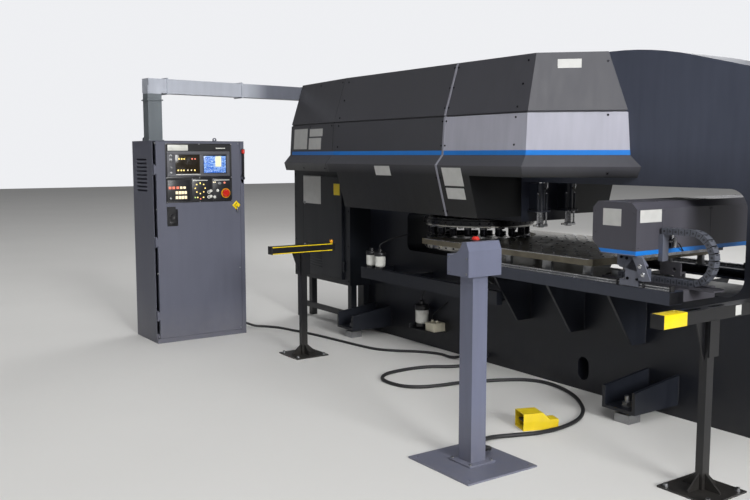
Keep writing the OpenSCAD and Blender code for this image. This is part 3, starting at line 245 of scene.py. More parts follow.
# Past -0.9 m in Y, towards the machine, and on its riser between 1.70 and 2.185 m, the duct is painted darker
# grey: painted shade.
duct_paint = painted("light grey duct enamel", "B4B8C2", 0.40, 2.0, 0.06, 0.10,
                     painted_shade=("686B75", "Y", -0.9, -1.15), band=("666D72", 1.70, 2.185))
# Gloss enamel has sharp highlights, and scuffs where shoes meet it.
yellow_paint = painted("yellow gloss enamel on a casting", "F2D414", 0.30, 2.0, 0.10, 0.06, scuff=0.12,
                       dust=0.2)
stand_paint = painted("black gloss enamel", "131316", 0.34, 2.0, 0.10, 0.20, scuff=0.15, dust=0.15)
print("paints:", len(bpy.data.materials))

# %% [markdown]
# ## Bare metal
# Ground and turned steel is bright, but not a mirror: the tool leaves fine lines in one direction, and
# oil and handling leave cloudy darker patches. The lines are a noise that is stretched fifty times along
# one axis. The tooling is oiled black steel.

# %% Function for bare metal
line_mm = 1.2


def bare_metal(name, chip, roughness=0.3, along=(1.0, 1.0, 1.0), stain=0.35, stain_chip="2A2A2C"):
    """Machined metal with tool lines along the axis whose factor is small, and oily stains."""
    made, tree, shader = new_finish(name, Metallic=1.0)
    at = put(tree, "ShaderNodeTexCoord", out="Object")
    lines = put(tree, "ShaderNodeTexNoise", {"Vector": stretched(tree, along), "Scale": waves(line_mm),
                                             "Detail": 2.0}, "Fac")
    # The stains are clouds of 9 cm.
    patch = put(tree, "ShaderNodeTexNoise", {"Vector": at, "Scale": 11.0, "Detail": 5.0,
                                             "Roughness": 0.62}, "Fac")
    keep = put(tree, "ShaderNodeMapRange", {"Value": patch, "From Min": 0.42, "From Max": 0.68,
                                            "To Max": stain}, "Result")
    colour = put(tree, "ShaderNodeMix", {"Factor": keep, "A": paint_chip(chip),
                                         "B": paint_chip(stain_chip)}, "Result", data_type="RGBA")
    gloss = put(tree, "ShaderNodeMapRange", {"Value": patch, "From Min": 0.3, "From Max": 0.7,
                                             "To Min": roughness - 0.08, "To Max": roughness + 0.14},
                "Result")
    surface(tree, shader, colour, gloss, lines, 0.25, 0.2)
    return made


# %% The metals
# Grinding leaves lines across the part, which draw each highlight out along it.
ground_steel = bare_metal("ground and oiled steel", "B9BABD", 0.24, (0.02, 1.0, 1.0))
# Turning leaves rings, so the highlight runs round the part.
turned_steel = bare_metal("turned steel", "C6C7CA", 0.20, (1.0, 1.0, 0.02), stain=0.2)
# Zinc plating is a pale cloudy grey without tool lines.
zinc_steel = bare_metal("zinc plated steel", "A2A3A5", 0.36, stain=0.3)
# Black oxide under oil is nearly black, with a soft steel sheen at its edges.
black_oxide = bare_metal("oiled black oxide", "26262A", 0.30, stain=0.5, stain_chip="0E0E10")
print("paints and metals:", len(bpy.data.materials))

# %% [markdown]
# ## Plastic and rubber
# A moulded part has one even colour. Its mould was eroded by sparks, which leaves a fine dull grain, and
# its gloss is a little uneven where hands and wipes have been.

# %% Function for moulded plastic and rubber
def moulded(name, chip, roughness=0.35, grain_mm=1.0, grain=0.08, tone=0.08):
    """Moulded plastic or rubber: even colour, a fine spark-eroded grain and slightly uneven gloss."""
    made, tree, shader = new_finish(name)
    at = put(tree, "ShaderNodeTexCoord", out="Object")
    cloud = put(tree, "ShaderNodeTexNoise", {"Vector": at, "Scale": 18.0, "Detail": 3.0}, "Fac")
    colour = toned(tree, paint_chip(chip), cloud, 0.3, 0.7, tone)
    gloss = put(tree, "ShaderNodeMapRange", {"Value": cloud, "From Min": 0.3, "From Max": 0.7,
                                             "To Min": roughness - 0.04, "To Max": roughness + 0.06},
                "Result")
    skin = put(tree, "ShaderNodeTexNoise", {"Vector": at, "Scale": waves(grain_mm), "Detail": 1.0}, "Fac")
    surface(tree, shader, colour, gloss, skin, grain, 0.5)
    return made


# %% The plastics
# Rubber swallows light, and its grain greys the edges a little.
rubber = moulded("black rubber", "1B1B1D", 0.62, 1.2, 0.15)
# ABS from a polished mould has a clear highlight; nylon with glass in it is drier.
dark_plastic = moulded("black moulded ABS", "18181B", 0.40)
nylon = moulded("glass-filled nylon", "222226", 0.46, 0.8, 0.12, 0.2)
white_plastic = moulded("white moulded ABS", "D9D9D2", 0.30)
red_plastic = moulded("red moulded button", "C4281C", 0.25)
# Lenses and bowls have the narrow bright highlight of clear plastic.
amber_plastic = moulded("amber lamp lens", "E39A16", 0.22)
bowl_plastic = moulded("milky polycarbonate bowl", "D8D8D2", 0.22)
print("finishes:", len(bpy.data.materials))

# %% [markdown]
# ## Finishes of the solids
# Each solid of the CAD model that stays visible gets the finish of the part that it stands for. A few
# enamels are used only once, so they are mixed where they are applied.

# %% Assign the finishes to the solids that stay
def coat(material, *names):
    """Gives a CAD solid's object one finish, in every material slot."""
    for name in names:
        body = nodes[name]
        if not body.data.materials:
            body.data.materials.append(material)
        for index in range(len(body.material_slots)):
            body.material_slots[index].material = material
    print(material.name, "on", *names)


coat(frame_paint, "bridge_frame")
# The brackets are painted near black, darker than the frame: painted shade low under the machine; the scuffs
# are real.
coat(painted("near-black bracket enamel with painted shade", "171A22", 0.42, 3.0, 0.10, 0.2, scuff=0.12), "frame_brackets")
coat(cover_paint, "front_cover_left", "rear_cover")
coat(band_cover_paint, "front_cover_right")
coat(carriage_paint, "carriage_cover")
coat(painted("dark slate beam enamel", "343844", 0.38, 2.5, 0.1, 0.12, scuff=0.2), "rail_beams")
coat(painted("worn grey enamel on the tray", "4B4A50", 0.42, 2.5, 0.1, 0.14, scuff=0.2), "chain_tray")
coat(painted("dark navy enamel on the beam", "2C303C", 0.38, 2.5, 0.1, 0.12, scuff=0.12), "carriage_beam",
     "holder_cylinders")
coat(painted("light slate enamel", "676A76", 0.36, 2.5, 0.1, 0.12, scuff=0.15), "carriage_brackets")
coat(strip_paint, "cover_joint_strip")
coat(band_paint, "cover_stripe", "carriage_stripe")
coat(cabinet_paint, "cabinet_shell", "cabinet_door")
coat(pedestal_paint, "pedestal")
coat(box_paint, "hydraulic_box", "hydraulic_door")
coat(duct_paint, "duct")
coat(yellow_paint, "foot_switch_base")
coat(stand_paint, "guard_stand_right", "guard_stand_left")
coat(ground_steel, "linear_rails", "cross_slide", "clamp_jaw_a", "clamp_jaw_b", "clamp_jaw_c",
     "hydraulic_unit")
coat(turned_steel, "ram", "ram_cylinder", "front_holder_pad", "rear_holder_pad")
coat(zinc_steel, "levelling_feet", "table_legs", "ball_transfers")
coat(black_oxide, "punch_holders", "die_holders", "clamp_bodies", "upper_turret_motor",
     "lower_turret_motor")
coat(rubber, "foot_pedal")
coat(nylon, "drag_chain")
coat(dark_plastic, "operator_panel", "panel_screens", "main_switch_handle")
coat(white_plastic, "panel_keys", "push_button_a", "push_button_b")
coat(yellow_paint, "key_switch")
coat(red_plastic, "stop_button", "pedestal_button")
coat(bowl_plastic, "oil_reservoirs")

# %% [markdown]
# ## Cords
# Two flexible leads lie on the floor: the operator's lead from the pedestal, which swings out in a wide
# loop, and the cable from the control cabinet. A lead has one fixed length, so its route is written once
# as points and the curve is drawn through them, round and smooth, with a moulded strain relief where it
# leaves a gland.

# %% Routes of the two leads
floor_points = [(420, -290.3, 60), (420, -315, 60), (420, -340, 60), (424, -430, 28), (430, -530, 14),
                (395, -640, 13), (320, -755, 13),
                (283, -900, 13), (281, -1050, 13), (310, -1180, 13), (400, -1275, 13), (530, -1300, 13),
                (660, -1268, 13), (745, -1180, 13), (790, -1040, 13), (815, -880, 13), (870, -720, 13),
                (940, -560, 13), (1030, -430, 13), (1160, -370, 13), (1330, -385, 13), (1500, -450, 13),
                (1650, -545, 13), (1800, -680, 13), (1910, -850, 13), (1962, -1050, 13), (1955, -1240, 13),
                (1900, -1400, 13), (1868, -1530, 16), (1900, -1640, 25), (1980, -1690, 26),
                (2050, -1712, 38),
                (2085, -1755, 60), (2085, -1775, 60), (2085, -1792.7, 60)]
cable_points = [(-1900, -1298.7, 60), (-1900, -1275, 60), (-1900, -1250, 60), (-1890, -1160, 24),
                (-1840, -1060, 12), (-1720, -985, 12),
                (-1540, -940, 12), (-1330, -890, 12), (-1080, -850, 12), (-850, -820, 12), (-620, -790, 12),
                (-430, -745, 12), (-280, -640, 12), (-150, -510, 12), (10, -420, 12), (150, -425, 14),
                (240, -408, 30), (290, -345, 60), (290, -318, 60), (290, -290.3, 60)]


def through(points, steps):
    """Smooth line through the points, the same spline as the CAD tube, in metres."""
    line = []
    last = len(points) - 1
    for index in range(last):
        a, b, c, d = (Vector(points[min(max(index + k, 0), last)]) for k in (-1, 0, 1, 2))
        for step in range(steps):
            t = step / steps
            line.append(0.5 * (2 * b + (c - a) * t + (2 * a - 5 * b + 4 * c - d) * t * t
                               + (3 * b - a - 3 * c + d) * t * t * t) * MM)
    return line + [Vector(points[last]) * MM]


def lead(name, points, diameter, material, node, exit_end):
    """A lead as a round curve along its route."""
    line = through(points, 6)
    if exit_end == "last":
        line.reverse()
    curve = bpy.data.curves.new(name, "CURVE")
    curve.dimensions = "3D"
    curve.bevel_depth = diameter / 2
    curve.bevel_resolution = 4
    curve.use_fill_caps = True
    spline = curve.splines.new("POLY")
    spline.points.add(len(line) - 1)
    for point, place in zip(spline.points, line):
        point.co = (*place, 1.0)
    spline.use_smooth = True
    curve.materials.append(material)
    made = bpy.data.objects.new(name, curve)
    bpy.context.scene.collection.objects.link(made)
    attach(made, "machine")
    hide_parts(node)
    return made


cord_jacket = moulded("black neoprene cord jacket", "202022", 0.55, 1.5, 0.2, 0.25)
lead("floor_lead", floor_points, 0.025, cord_jacket, "floor_cord", "last")
lead("cabinet_cable", cable_points, 0.022, cord_jacket, "control_cable", "first")

# %% [markdown]
# ## A small workshop
# Most of the small parts are cut from plate, bar or tube. One class collects plates, bars, rods and
# turned shapes in a mesh, in millimetres, and then makes one finished object of them, with its faces turned
# out, and with a small round on every edge, because no real edge is perfectly sharp.

# %% Faces of a tube, and directions along a pipe
def tube_faces(rings, sides, closed=False):
    """Faces of a tube of rings of points, with its two ends, or closed on itself as a ring."""
    after = [(i + 1) % rings * sides for i in range(rings)]
    faces = [(i * sides + k, i * sides + (k + 1) % sides, after[i] + (k + 1) % sides, after[i] + k)
             for i in range(rings if closed else rings - 1) for k in range(sides)]
    if not closed:
        faces += [tuple(range(sides - 1, -1, -1)), tuple(range((rings - 1) * sides, rings * sides))]
    return faces


def frames_along(line):
    """Each point of a line with two directions square to it, which turn as little as they can."""
    frames = []
    side = None
    for index, place in enumerate(line):
        ahead = (line[min(index + 1, len(line) - 1)] - line[max(index - 1, 0)]).normalized()
        if side is None:
            side = ahead.orthogonal().normalized()
        side = (side - ahead * side.dot(ahead)).normalized()
        frames.append((place, side.copy(), ahead.cross(side)))
    return frames


print("faces of a six-sided rod:", len(tube_faces(2, 6)), "and of a six-sided washer:",
      len(tube_faces(4, 6, True)))


# %% Class that makes mechanical shapes
class Work:
    """Collects shapes in millimetres, then makes them one object at the origin."""

    def __init__(self):
        self.mesh = bmesh.new()

    def add(self, points, faces):
        """Adds points and faces, and returns the new vertices."""
        made = [self.mesh.verts.new(Vector(p) * MM) for p in points]
        for face in faces:
            self.mesh.faces.new([made[i] for i in face])
        return made

    def plate(self, outline, axis, low, high):
        """A closed outline in the two other axes, thickened from low to high along an axis (0, 1 or 2)."""
        others = [k for k in (0, 1, 2) if k != axis]
        points = []
        for level in (low, high):
            for a, b in outline:
                point = [0.0, 0.0, 0.0]
                point[axis], point[others[0]], point[others[1]] = level, a, b
                points.append(point)
        n = len(outline)
        sides = [(i, (i + 1) % n, n + (i + 1) % n, n + i) for i in range(n)]
        return self.add(points, [tuple(range(n)), tuple(range(2 * n - 1, n - 1, -1))] + sides)

    def bar(self, low, high):
        """A block between two corners."""
        return self.plate([(low[0], low[1]), (high[0], low[1]), (high[0], high[1]), (low[0], high[1])], 2,
                          low[2], high[2])

    def turned(self, profile, at, along, sides=32, hollow=False):
        """A shape turned on a lathe, with profile points (distance along, radius) from a place.
        A hollow one closes its profile on itself, as a ring does."""
        turn = Vector((0, 0, 1)).rotation_difference(Vector(along)).to_matrix()
        points = [Vector(at) + turn @ Vector((r * math.cos(2 * math.pi * k / sides),
                                              r * math.sin(2 * math.pi * k / sides), h))
                  for h, r in profile for k in range(sides)]
        return self.add(points, tube_faces(len(profile), sides, hollow))

    def rod(self, start, end, radius, sides=24):
        """A round bar between two places."""
        along = Vector(end) - Vector(start)
        return self.turned([(0, radius), (along.length, radius)], start, along, sides)

    def pipe(self, points, radius, sides=12, steps=6):
        """A bent round pipe along a smooth line through points."""
        line = [p / MM for p in through(points, steps)]
        rounds = [2 * math.pi * k / sides for k in range(sides)]
        skin = [p + radius * (a * math.cos(t) + b * math.sin(t)) for p, a, b in frames_along(line)
                for t in rounds]
        return self.add(skin, tube_faces(len(line), sides))

    def turn(self, made, angle, centre, axis="Z"):
        """Turns vertices about an axis through a centre, in degrees."""
        bmesh.ops.rotate(self.mesh, verts=made, cent=Vector(centre) * MM,
                         matrix=Matrix.Rotation(math.radians(angle), 3, axis))
        return made

    def done(self, name, material, body, round_mm=1.5, segments=2, replaces=()):
        """One object with rounded edges, riding on a body."""
        bmesh.ops.recalc_face_normals(self.mesh, faces=self.mesh.faces)
        data = bpy.data.meshes.new(name)
        self.mesh.to_mesh(data)
        self.mesh.free()
        data.materials.append(material)
        made = bpy.data.objects.new(name, data)
        bpy.context.scene.collection.objects.link(made)
        if round_mm:
            rounded(made, round_mm, segments)
        made.data.set_sharp_from_angle(angle=math.radians(38))
        return carry(made, body, replaces)


# %% Functions that finish a piece
def settle(made):
    """Turns an object's modifiers into plain mesh."""
    seen = made.evaluated_get(bpy.context.evaluated_depsgraph_get())
    data = bpy.data.meshes.new_from_object(seen)
    made.modifiers.clear()
    old = made.data
    made.data = data
    bpy.data.meshes.remove(old)
    return made


def rounded(made, width_mm, segments):
    """Rounds the edges where faces meet at more than 35 degrees."""
    edge = made.modifiers.new("round", "BEVEL")
    edge.width = width_mm * MM
    edge.segments = segments
    edge.limit_method = "ANGLE"
    edge.angle_limit = math.radians(35)
    edge.use_clamp_overlap = True
    edge.harden_normals = False
    return settle(made)


def carry(made, body, replaces=()):
    """Lets a finished piece ride on its body, and hides the solids it stands for."""
    for polygon in made.data.polygons:
        polygon.use_smooth = True
    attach(made, body)
    if replaces:
        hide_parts(*replaces)
    print(made.name, "on", body, "with", len(made.data.polygons), "faces")
    return made


def slab(name, material, body, low, high, round_mm=1.0, segments=2):
    """A piece that is one block between two corners."""
    work = Work()
    work.bar(low, high)
    return work.done(name, material, body, round_mm, segments)


# %% [markdown]
# ## Screws by the hundred
# Screws repeat everywhere, so they come from one Geometry Nodes tree. Its input is a cloud of loose
# vertices, each with the direction its screw faces. The tree builds a washer, a head and a socket painted
# dark as shade, puts a copy on each vertex and turns it to face outwards. The result becomes plain mesh,
# one object for each set of screws.

# %% Helpers for Geometry Nodes trees
def new_tree(name):
    """Geometry Nodes group that takes a geometry and gives one."""
    tree = bpy.data.node_groups.new(name, "GeometryNodeTree")
    for way in ("INPUT", "OUTPUT"):
        tree.interface.new_socket(name="Geometry", in_out=way, socket_type="NodeSocketGeometry")
    return tree


def set_down(tree, joined, mesh, finish, place, turn=(0.0, 0.0, 0.0)):
    """Moves a mesh to its place in the piece, gives it a finish and joins it to the rest."""
    moved = put(tree, "GeometryNodeTransform", {"Geometry": mesh, "Translation": place, "Rotation": turn},
                "Geometry")
    coated = put(tree, "GeometryNodeSetMaterial", {"Geometry": moved, "Material": finish}, "Geometry")
    tree.links.new(coated, joined.inputs["Geometry"])


def outwards(tree):
    """Rotation that turns a piece's Z axis along the direction that a vertex carries as 'facing'."""
    facing = put(tree, "GeometryNodeInputNamedAttribute", {"Name": "facing"}, "Attribute",
                 data_type="FLOAT_VECTOR")
    return put(tree, "FunctionNodeAlignRotationToVector", {"Vector": facing}, "Rotation", axis="Z")


def repeated(tree, given, joined, turn):
    """Ends a tree: a turned copy of what is joined on every vertex, as real mesh."""
    spread = put(tree, "GeometryNodeInstanceOnPoints", {"Points": given.outputs["Geometry"],
                                                        "Instance": joined.outputs["Geometry"],
                                                        "Rotation": turn})
    real = put(tree, "GeometryNodeRealizeInstances", {"Geometry": spread.outputs["Instances"]})
    put(tree, "NodeGroupOutput", {"Geometry": real.outputs["Geometry"]})
    return tree


# %% Tree for screws
def screw_tree():
    """Group that sets a socket-head screw on every vertex: a washer, a head and a socket painted dark as
    shade.
    """
    tree = new_tree("socket screws")
    for name in ("Head width", "Head height", "Socket width"):
        tree.interface.new_socket(name=name, in_out="INPUT", socket_type="NodeSocketFloat")
    for name in ("Head finish", "Socket finish"):
        tree.interface.new_socket(name=name, in_out="INPUT", socket_type="NodeSocketMaterial")
    given = put(tree, "NodeGroupInput")
    joined = put(tree, "GeometryNodeJoinGeometry")
    # The socket is a dark hexagon standing on the head: painted shade where a real socket is a recess.
    for wide, radius_share, height_share, sides, finish in (("Head width", 0.72, 0.22, 14, "Head finish"),
                                                            ("Head width", 0.5, 1.0, 12, "Head finish"),
                                                            ("Socket width", 0.5, 1.03, 6, "Socket finish")):
        radius = put(tree, "ShaderNodeMath", {0: given.outputs[wide], 1: radius_share}, "Value",
                     operation="MULTIPLY")
        height = put(tree, "ShaderNodeMath", {0: given.outputs["Head height"], 1: height_share}, "Value",
                     operation="MULTIPLY")
        middle = put(tree, "ShaderNodeMath", {0: height, 1: 0.5}, "Value", operation="MULTIPLY")
        lift = put(tree, "ShaderNodeCombineXYZ", {"Z": middle}, "Vector")
        drum = put(tree, "GeometryNodeMeshCylinder", {"Vertices": sides, "Radius": radius, "Depth": height},
                   "Mesh")
        set_down(tree, joined, drum, given.outputs[finish], lift)
    return repeated(tree, given, joined, outwards(tree))


screws = screw_tree()
print("nodes in the screw's tree:", len(screws.nodes))


# %% Functions that set screws
def run_tree(name, tree, inputs, places=None, facings=None):
    """An object whose mesh is what a Geometry Nodes tree makes from loose vertices."""
    data = bpy.data.meshes.new(name)
    data.from_pydata([tuple(Vector(p) * MM) for p in (places or [(0, 0, 0)])], [], [])
    if facings:
        mark = data.attributes.new("facing", "FLOAT_VECTOR", "POINT")
        for index, direction in enumerate(facings):
            mark.data[index].vector = direction
    made = bpy.data.objects.new(name, data)
    bpy.context.scene.collection.objects.link(made)
    pattern = made.modifiers.new("pattern", "NODES")
    pattern.node_group = tree
    for item in tree.interface.items_tree:
        if item.in_out == "INPUT" and item.name in inputs:
            pattern[item.identifier] = inputs[item.name]
    return settle(made)


def fasten(name, body, places, width=12.0, height=6.0, finish=None, socket=None):
    """Screws at places given as (x, y, z, facing) in millimetres."""
    made = run_tree(name, screws, {"Head width": width * MM, "Head height": height * MM,
                                   "Socket width": width * MM * 0.5, "Head finish": finish or zinc_steel,
                                   "Socket finish": socket or black_oxide},
                    [p[:3] for p in places], [p[3] for p in places])
    made.data.set_sharp_from_angle(angle=math.radians(30))
    print(len(places), "screws: ", end="")
    return carry(made, body)


def row(start, end, count, facing):
    """Evenly spaced screw places between two points."""
    a, b = Vector(start), Vector(end)
    return [(*(a + (b - a) * (k / max(count - 1, 1))), facing) for k in range(count)]


print("three places in a row:", [p[0] for p in row((0, 0, 0), (100, 0, 0), 3, (0, 0, 1))])

# %% [markdown]
# ## Head covers
# The covers are folded sheet in three stretches: one that bends back at the left, the long main one, and
# a short one that turns to the frame at 45 degrees. A place on them is best given as a distance along the
# stretch and a height, and one function turns that into a point and the direction that the sheet faces
# there.

# %% Places on the covers
half_frame = 264.0
cover_front = [(333, 2335), (455, 1944), (444, 1941), (444, 1933), (457, 1930), (476, 1650), (541, 1574),
               (433, 1192)]
stretches = {"left": (-1099.0, -6.0), "main": (0.0, 0.0), "chamfer": (1100.0, 45.0)}


def on_cover(stretch, along, height, out=0.0):
    """Point and facing on the front cover, in millimetres."""
    for (d0, z0), (d1, z1) in zip(cover_front, cover_front[1:]):
        if z1 <= height <= z0:
            break
    reach = d0 + (d1 - d0) * (z0 - height) / (z0 - z1)
    start, degrees = stretches[stretch]
    turn = Matrix.Rotation(math.radians(degrees), 3, "Z")
    facing = turn @ Vector((0, -(z0 - z1), d1 - d0)).normalized()
    facing = facing if facing.y < 0 or abs(facing.y) < 1e-6 else -facing
    place = Vector((start, -half_frame, 0)) + turn @ Vector((along, -reach, 0))
    place.z = height
    return place + facing * out, facing


def cover_plate(work, stretch, a0, a1, z0, z1, thick=1.2):
    """A thin plate that lies on the cover between two places along it and two heights."""
    corners = [(a0, z0), (a1, z0), (a1, z1), (a0, z1)]
    points = [on_cover(stretch, a, z, out)[0] for out in (0.2, thick) for a, z in corners]
    work.add(points, [(3, 2, 1, 0), (4, 5, 6, 7), (0, 1, 5, 4), (1, 2, 6, 5), (2, 3, 7, 6), (3, 0, 4, 7)])


def cover_strip(work, stretch, along, width, thick):
    """A narrow strip that follows the cover's section from top to bottom at one place."""
    heights = [z for _, z in cover_front]
    inner, outer = [], []
    for z in heights:
        low = on_cover(stretch, 0, max(z - 0.01, heights[-1]), 0)[0]
        inner.append(low)
        outer.append(on_cover(stretch, 0, max(z - 0.01, heights[-1]), thick)[0])
    shift = on_cover(stretch, 1, 2000)[0] - on_cover(stretch, 0, 2000)[0]
    points = [p + shift * s for s in (along - width / 2, along + width / 2) for p in inner + outer[::-1]]
    n = len(inner) * 2
    work.add(points, [tuple(range(n)), tuple(range(2 * n - 1, n - 1, -1))]
             + [(i, (i + 1) % n, n + (i + 1) % n, n + i) for i in range(n)])


print("the cover's fold lies at", [round(c) for c in on_cover("main", 0, 1574)[0]])


# %% Seams, blank plates and screws of the covers
seam = Work()
cover_strip(seam, "left", -4.0, 5.0, 0.8)
seam.done("cover_seam", rubber, "machine", 0)

plates = Work()
for stretch, a0, a1, z0, z1 in (("chamfer", 2, 158, 2227, 2288), ("left", -872, -560, 1705, 1898),
                                ("left", -510, -225, 1822, 1892), ("left", -520, -250, 1702, 1808),
                                ("main", -394, -182, 1486, 1563), ("main", 480, 700, 1424, 1558),
                                ("main", 484, 692, 1326, 1408)):
    cover_plate(plates, stretch, a0, a1, z0, z1)
white_plate = moulded("satin white blank plate", "C9C9C6", 0.35, tone=0.05)
plates.done("cover_blank_plates", white_plate, "machine", 0.3, 1)

cover_spots = []
for stretch, alongs, heights in (("main", (399, 443), (2300, 2150, 2000, 1900, 1720, 1480, 1230)),
                                 ("main", (-1060, 1180), (2290, 2130, 1975, 1905, 1720)),
                                 ("left", (-930, -500, -40), (2300, 1912, 1530)),
                                 ("chamfer", (330, 560), (2270, 1912, 1530))):
    for along in alongs:
        for z in heights:
            place, facing = on_cover(stretch, along, z)
            cover_spots.append((*place, facing))
fasten("cover_screws", "machine", cover_spots, 11, 4.5, black_oxide, black_oxide)

# %% [markdown]
# ## Control panel
# The panel in the cabinet's door is a sheet of dark film with a grey bezel. In the bezel sit a row of
# lamps behind smoked glass and a small colour screen. Below are a keypad, a ring of lamps and the push
# buttons. Places are given in millimetres from the panel's lower left corner.

# %% Places and glowing finishes of the panel
panel_left, panel_low, panel_face = -2073.0, 1236.0, -1725.0


def glow(name, chip, strength, roughness=0.3):
    """Lit plastic: a lens with its own light."""
    made, tree, shader = new_finish(name, Roughness=roughness, Emission_Strength=strength)
    at = put(tree, "ShaderNodeTexCoord", out="Object")
    cloud = put(tree, "ShaderNodeTexNoise", {"Vector": at, "Scale": 160.0, "Detail": 1.0}, "Fac")
    tone = put(tree, "ShaderNodeMix", {"Factor": cloud, "A": paint_chip(chip), "B": paint_chip("FFF6D8")},
               "Result", data_type="RGBA")
    shader.inputs["Base Color"].default_value = paint_chip(chip)
    tree.links.new(tone, shader.inputs["Emission Color"])
    return made


bezel_paint = painted("dark grey bezel enamel", "55555A", 0.5, 1.6, 0.2, 0.06)
film = moulded("black polyester keypad film", "232326", 0.32)
smoked = moulded("smoked lamp window", "2B251C", 0.12, tone=0.2)
lamp_yellow = glow("lit yellow lamp", "FFD84A", 0.8)
lamp_white = glow("lit white key", "F2E2BC", 0.45)
lamp_red = glow("lit red lamp", "E8401A", 0.5)
lamp_green = glow("lit green lamp", "86B83A", 0.8)
print("panel finishes made")


def screen_glass():
    """Colour screen: soft blue fields with pale blocks, made of blurred bricks."""
    made, tree, shader = new_finish("colour screen glass", Roughness=0.2, Emission_Strength=0.5)
    at = put(tree, "ShaderNodeTexCoord", out="Object")
    split = put(tree, "ShaderNodeSeparateXYZ", {"Vector": at})
    across = put(tree, "ShaderNodeMapRange", {"Value": split.outputs["Y"],
                                              "From Min": (panel_left + 343) * MM,
                                              "From Max": (panel_left + 569) * MM}, "Result")
    high = put(tree, "ShaderNodeMapRange", {"Value": split.outputs["Z"],
                                            "From Min": (panel_low + 250) * MM,
                                            "From Max": (panel_low + 418) * MM}, "Result")
    place = put(tree, "ShaderNodeCombineXYZ", {"X": across, "Y": high}, "Vector")
    bricks = put(tree, "ShaderNodeTexBrick", {"Vector": place, "Color1": paint_chip("2C62C4"),
                                              "Color2": paint_chip("7FA6DE"),
                                              "Mortar": paint_chip("173A6E"),
                                              "Scale": 3.1, "Mortar Size": 0.03, "Mortar Smooth": 0.6,
                                              "Brick Width": 0.9, "Row Height": 0.22}, "Color")
    speckle = put(tree, "ShaderNodeTexNoise", {"Vector": at, "Scale": 90.0, "Detail": 2.0}, "Fac")
    fleck = put(tree, "ShaderNodeMapRange", {"Value": speckle, "From Min": 0.52, "From Max": 0.66,
                                             "To Max": 0.55}, "Result")
    field = put(tree, "ShaderNodeMix", {"Factor": fleck, "A": bricks, "B": paint_chip("C8DCF0")},
                "Result", data_type="RGBA")
    window = 1.0
    for source, low, top in ((across, 0.5, 0.56), (across, 0.8, 0.74), (high, 0.34, 0.4),
                             (high, 0.93, 0.87)):
        edge = put(tree, "ShaderNodeMapRange", {"Value": source, "From Min": low, "From Max": top},
                   "Result")
        window = put(tree, "ShaderNodeMath", {0: window, 1: edge}, "Value", operation="MULTIPLY")
    picture = put(tree, "ShaderNodeMix", {"Factor": window, "A": field, "B": paint_chip("EDE7B4")},
                  "Result", data_type="RGBA")
    tree.links.new(picture, shader.inputs["Emission Color"])
    tree.links.new(picture, shader.inputs["Base Color"])
    return made


colour_screen = screen_glass()
print(colour_screen.name, "made")


# %% Functions for panel pieces
def panel_bar(work, y0, z0, y1, z1, low, high):
    """A block on the panel, from low to high in front of its face."""
    work.bar((panel_face + low, panel_left + y0, panel_low + z0),
             (panel_face + high, panel_left + y1, panel_low + z1))


def panel_disc(work, y, z, profile, sides=24, hollow=False):
    """A turned shape that stands out of the panel."""
    work.turned(profile, (panel_face, panel_left + y, panel_low + z), (1, 0, 0), sides, hollow)


def lens(work, y, z, radius, high, back=3.0):
    """A domed lamp or key on the panel."""
    panel_disc(work, y, z, [(back, radius), (high - 1.5, radius), (high - 0.5, radius * 0.8),
                            (high, radius * 0.35)], 16)


def on_door(name, material, draw, round_mm=0.8, replaces=()):
    """One piece that rides on the cabinet's door."""
    work = Work()
    draw(work)
    return work.done(name, material, "cabinet_door_body", round_mm, 2, replaces)


def flats(name, material, boxes, low, high, round_mm=0.8, replaces=()):
    """One piece made of blocks on the panel, each with its left, bottom, right and top."""
    return on_door(name, material, lambda w: [panel_bar(w, *box, low, high) for box in boxes],
                   round_mm, replaces)


panel_width, panel_height = 621, 514
print("panel:", panel_width, "x", panel_height, "mm")

# %% Bezel, windows and plates of the panel
flats("panel_bezel", bezel_paint,
      ((8, 418, 598, 446), (8, 226, 598, 250), (8, 250, 84, 418), (312, 250, 343, 418),
       (569, 250, 598, 418)), 0, 12, 1.5)
flats("lamp_window", smoked, ((84, 250, 312, 418),), 0, 5, 0.5)
flats("colour_screen", colour_screen, ((347, 254, 565, 414),), 0, 5, 0.5,
      ("panel_screens",))
flats("screen_mask", dark_plastic,
      ((343, 406, 569, 418), (343, 250, 569, 256), (343, 256, 350, 406), (562, 256, 569, 406)), 0, 8)
flats("keypad_plates", film,
      ((12, 8, 216, 196), (236, 8, 420, 206), (432, 8, 606, 206)), 0, 3)
on_door("panel_lines", white_plastic,
        lambda w: [panel_bar(w, *box) for box in ((88, 241, 314, 247, 11.8, 12.6),
                                                  (246, 187, 384, 194, 2.8, 3.8),
                                                  (446, 187, 596, 194, 2.8, 3.8),
                                                  (20, 452, 206, 502, 0, 1.5),
                                                  (470, 470, 560, 478, 0, 1.2))], 0.3)

